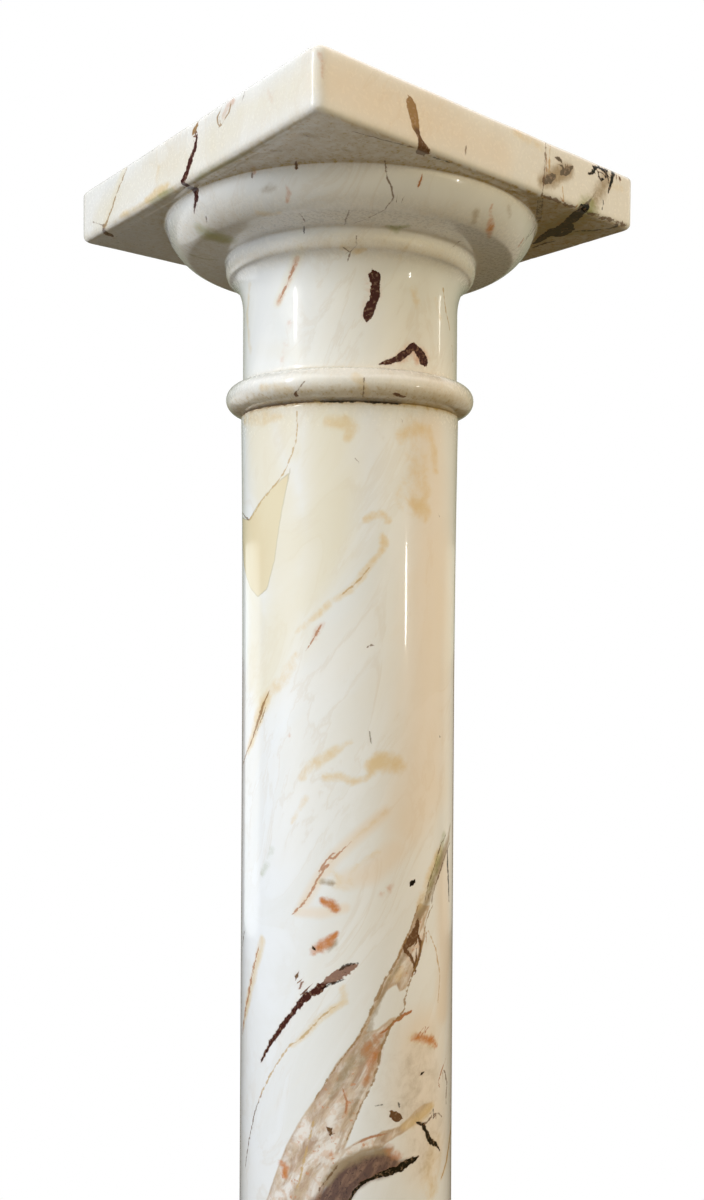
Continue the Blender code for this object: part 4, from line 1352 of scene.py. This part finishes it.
def marbleMaterial(name, blockPlace, body, hasAreas):
    material = bpy.data.materials.new(name)
    material.use_nodes = True
    tree = material.node_tree
    shader = tree.nodes["Principled BSDF"]
    objectPlace = addNode(tree, "ShaderNodeTexCoord").outputs["Object"]
    place = addNode(tree, "ShaderNodeMapping", {"Vector": objectPlace, "Location": blockPlace}).outputs[0]
    bedding = (cameraRight * beddingSlope[0] + Vector((0, 0, beddingSlope[1]))).normalized()
    toBedding = bedding.to_track_quat('Z', 'Y').inverted().to_euler()
    turned = addNode(tree, "ShaderNodeMapping", {"Vector": place, "Rotation": toBedding}).outputs[0]
    slanted = addNode(tree, "ShaderNodeMapping", {"Vector": turned, "Scale": beddingStretch}).outputs[0]

    n = noisesFrom(tree, slanted, slantedNoises) | noisesFrom(tree, place, evenNoises)
    colour = milkyBody(tree, body, n)
    if hasAreas:
        n |= noisesFrom(tree, slanted, slantedBrecciaNoises) | noisesFrom(tree, place, evenBrecciaNoises)
        colour = withAreas(tree, colour, n)
    colour = withStains(tree, colour, n)

    # dirt and painted shade, stored per vertex, darken and warm the colour and roughen the polish
    soil = addNode(tree, "ShaderNodeAttribute", attribute_name="soil").outputs["Fac"]
    dustAndShade = times(tree, soil, ramp(tree, n["wander"], 0.3, 0.7, 0.75, 1.2))
    soilAndShadeSpecks = times(tree, ramp(tree, n["fineLumps"], 0.52, 0.66), soil)
    soilAndShadeMask = maths(tree, 'MINIMUM', plus(tree, times(tree, dustAndShade, 0.7), times(tree, soilAndShadeSpecks, 0.35)), 1)
    colour = tinted(tree, soilAndShadeMask, colour, "soil")

    v = veinLooks
    bold = attributeParts(tree, "bold")
    swell = ramp(tree, n["thickness"], 0.3, 0.7, *v["boldSwell"])
    frayed = shifted(tree, n["wander"], n["fineLumps"], v["fray"])
    boldMask = veinMask(tree, bold, frayed, swell, v["boldWobble"], v["boldEdge"])
    paler = ramp(tree, n["fineLumps"], 0.5, 0.68, 0, 0.45)
    boldColour = tinted(tree, paler, toneColour(tree, bold[2]), "brecciaBrown")
    halo = times(tree, veinMask(tree, bold, frayed, swell, v["boldWobble"], v["haloEdge"]), v["haloStrength"])
    colour = blend(tree, boldMask, tinted(tree, halo, colour, "russet"), boldColour)
    fine = attributeParts(tree, "fine")
    thinning = ramp(tree, n["thickness"], 0.36, 0.62, *v["fineSwell"])
    fineMask = veinMask(tree, fine, n["wander"], thinning, v["fineWobble"], v["fineEdge"])
    colour = blend(tree, times(tree, fineMask, v["fineStrength"]), colour, toneColour(tree, fine[2]))

    matt = times(tree, soilAndShadeMask, polish["soilRoughness"])
    roughness = plus(tree, ramp(tree, n["fineLumps"], 0.3, 0.7, *polish["roughness"]), matt)
    height = times(tree, n["fineLumps"], polish["grainHeight"])
    height = maths(tree, 'SUBTRACT', height, times(tree, fineMask, polish["fineVeinDepth"]))
    height = maths(tree, 'SUBTRACT', height, times(tree, boldMask, polish["boldVeinDepth"]))
    relief = addNode(tree, "ShaderNodeBump", {"Height": height, "Strength": polish["bumpStrength"],
                     "Distance": polish["bumpDistance"]})
    tree.links.new(colour, shader.inputs["Base Color"])
    tree.links.new(roughness, shader.inputs["Roughness"])
    tree.links.new(relief.outputs["Normal"], shader.inputs["Normal"])
    shader.inputs["Coat Weight"].default_value = polish["coat"]
    shader.inputs["Coat Roughness"].default_value = polish["coatRoughness"]
    return material


blocks = {    # where each stone lies in the quarry's pattern, and its white
    "capitalStone": ((3.1, 1.7, 0.4), "warmWhite"),
    "shaftStone": ((0.3, 0.2, 0.9), "coolWhite"),
    "baseStone": ((5.2, 4.4, 2.6), "warmWhite"),
}
for stone in stones:
    stone.data.materials.append(marbleMaterial(stone.name + "Marble", *blocks[stone.name], stone is shaftStone))
print("materials made")


# Studio: a pale floor, a white surround, and soft lights placed by their angle from the camera
studio = {
    "floorSize": 16,
    "floorSeen": (0.93, 0.93, 0.93, 1),
    "floorSeenGlow": 0.3,
    "floorRoughness": 0.8,
    "floorFade": (0.24, 0.5),              # how far out the floor turns into the white surround
    # The floor's glow for light rays is painted bounce light, dimmer near the stone as a painted shadow.
    "floorNear": (0.02, 0.015, 0.01, 1),   # what the floor gives back, by side of the camera's view
    "floorMiddle": (0.08, 0.055, 0.02, 1),
    "floorLeft": (0.14, 0.14, 0.14, 1),
    "floorRight": (0.03, 0.03, 0.02, 1),
    "floorNearEnds": (0.1, 0.7),
    "floorSides": (0.3, 0.7),              # share of the way to a side where its colour begins and is full
    "floorSidesFrom": (0.8, 2.0),
    "surroundSides": (-0.6, 0.8),
    "surroundBehindFrom": (0.3, 0.8),
    "surroundTopFrom": (0.35, 0.85),
    "surroundSeen": (1, 1, 1, 1),
    "surroundLeft": (0.03, 0.03, 0.03, 1),
    "surroundRight": (0.11, 0.12, 0.09, 1),
    "surroundTop": (1.3, 1.3, 1.3, 1),
    "surroundBehind": (0.2, 0.21, 0.14, 1),
}


def dotProduct(tree, a, b):
    return addNode(tree, "ShaderNodeVectorMath", {0: a, 1: b}, operation='DOT_PRODUCT').outputs["Value"]


def sideShare(tree, direction):
    # -1 is the left of the camera's view and 1 the right
    return dotProduct(tree, direction, cameraRight)


def makeFloor(s):
    bm = bmesh.new()
    bmesh.ops.create_grid(bm, x_segments=1, y_segments=1, size=s["floorSize"] / 2)
    mesh = bpy.data.meshes.new("studioFloor")
    bm.to_mesh(mesh)
    bm.free()
    floor = addObject("studioFloor", mesh)
    material = bpy.data.materials.new("paleFloor")
    material.use_nodes = True
    tree = material.node_tree
    seen = tree.nodes["Principled BSDF"]
    seen.inputs["Base Color"].default_value = s["floorSeen"]
    seen.inputs["Roughness"].default_value = s["floorRoughness"]
    seen.inputs["Emission Color"].default_value = (1, 1, 1, 1)
    seen.inputs["Emission Strength"].default_value = s["floorSeenGlow"]
    place = addNode(tree, "ShaderNodeTexCoord").outputs["Object"]
    away = addNode(tree, "ShaderNodeVectorMath", {0: place}, operation='LENGTH').outputs["Value"]
    white = addNode(tree, "ShaderNodeEmission", {"Color": s["surroundSeen"], "Strength": 1.0})
    faded = addNode(tree, "ShaderNodeMixShader", {0: ramp(tree, away, *s["floorFade"]), 1: seen.outputs[0],
                    2: white.outputs[0]})
    side = sideShare(tree, addNode(tree, "ShaderNodeVectorMath", {0: place}, operation='NORMALIZE').outputs["Vector"])
    far = ramp(tree, away, *s["floorSidesFrom"])
    begins, full = s["floorSides"]
    leftShare = times(tree, ramp(tree, side, -begins, -full), far)
    rightShare = times(tree, ramp(tree, side, begins, full), far)
    glow = blend(tree, leftShare, s["floorMiddle"], s["floorLeft"])
    glow = blend(tree, rightShare, glow, s["floorRight"])
    glow = blend(tree, ramp(tree, away, *s["floorNearEnds"]), s["floorNear"], glow)
    # painted bounce light: the floor glows for light rays, dimmer near the stone as a painted shadow
    bounce = addNode(tree, "ShaderNodeEmission", {"Color": glow})
    direct = addNode(tree, "ShaderNodeLightPath").outputs["Is Camera Ray"]
    both = addNode(tree, "ShaderNodeMixShader", {0: direct, 1: bounce.outputs[0], 2: faded.outputs[0]})
    tree.links.new(both.outputs[0], tree.nodes["Material Output"].inputs["Surface"])
    mesh.materials.append(material)


def makeSurround(s):
    world = bpy.data.worlds.new("studioSurround")
    bpy.context.scene.world = world
    world.use_nodes = True
    tree = world.node_tree
    direction = addNode(tree, "ShaderNodeTexCoord").outputs["Generated"]
    share = ramp(tree, sideShare(tree, direction), *s["surroundSides"])
    unseen = blend(tree, share, s["surroundLeft"], s["surroundRight"])
    upward = addNode(tree, "ShaderNodeSeparateXYZ", {0: direction}).outputs["Z"]
    behind = ramp(tree, dotProduct(tree, direction, cameraAhead), *s["surroundBehindFrom"])
    unseen = blend(tree, behind, unseen, s["surroundBehind"])
    unseen = blend(tree, ramp(tree, upward, *s["surroundTopFrom"]), unseen, s["surroundTop"])
    direct = addNode(tree, "ShaderNodeLightPath").outputs["Is Camera Ray"]
    colour = blend(tree, direct, unseen, s["surroundSeen"])
    tree.links.new(colour, tree.nodes["Background"].inputs["Color"])


# Lights: angle from the camera, distance, height, width, tallness, watts, colour, and the height they face
roomLights = {    # light the stone and aren't mirrored
    "windowLeft": (-65, 2.6, 2.0, 1.4, 1.4, 57, (0.99, 1.0, 1.0), 0.75),
    "windowLeftLow": (-62, 2.6, 0.45, 1.4, 1.0, 24, (0.95, 1.0, 1.06), 0.7),
    "roomRight": (45, 2.6, 1.15, 1.4, 1.0, 27, (1.0, 0.87, 0.57), 0.85),
    "roomRightLow": (80, 2.6, 0.7, 1.4, 1.2, 9, (1.0, 0.65, 0.45), 0.75),
    "warmRight": (90, 2.6, 2.9, 1.4, 1.4, 18.5, (1.0, 0.43, 0.08), 0.85),
    "behindRight": (115, 2.6, 0.9, 1.4, 1.4, 14, (0.9, 1.0, 0.9), 0.75),
}
mirroredLights = {    # only show in the polish
    "leftGleam": (-124, 1.5, 0.42, 1.0, 0.84, 2.1, (0.97, 1.0, 1.0), 0.42),
    "rightGleam": (138, 1.5, 0.42, 0.9, 0.84, 0.8, (1.0, 0.92, 0.75), 0.42),
    "shaftGlint": (61, 2.0, 0.72, 0.035, 0.24, 0.9, (1.0, 0.98, 0.94), 0.78),
    "neckGlint": (-57, 1.2, 1.25, 0.06, 0.10, 0.16, (1.0, 1.0, 1.0), 0.95),
    "neckThinGlint": (-34, 1.2, 1.31, 0.02, 0.05, 0.07, (1.0, 1.0, 1.0), 0.95),
    "highLeftGlint": (-57, 1.2, 1.46, 0.09, 0.36, 1.3, (1.0, 1.0, 1.0), 0.97),
    "sideGlint": (106, 1.3, 1.36, 0.03, 0.3, 0.2, (1.0, 0.98, 0.93), 0.95),
}


def softLight(name, mirrored, angle, away, height, wide, tall, watts, colour, aim):
    data = bpy.data.lights.new(name, 'AREA')
    data.shape = 'RECTANGLE'
    data.size, data.size_y = wide, tall
    data.energy = watts
    data.color = colour
    item = addObject(name, data)
    around = cameraSide + math.radians(angle)
    item.location = (away * math.cos(around), away * math.sin(around), height)
    facing = Vector((0, 0, aim)) - item.location
    item.rotation_euler = facing.to_track_quat('-Z', 'Y').to_euler()
    item.visible_diffuse = not mirrored
    item.visible_glossy = mirrored


makeFloor(studio)
makeSurround(studio)
for mirrored, lights in ((False, roomLights), (True, mirroredLights)):
    for name, settings in lights.items():
        softLight(name, mirrored, *settings)
bpy.context.scene.view_settings.view_transform = 'Standard'
print("studio made")
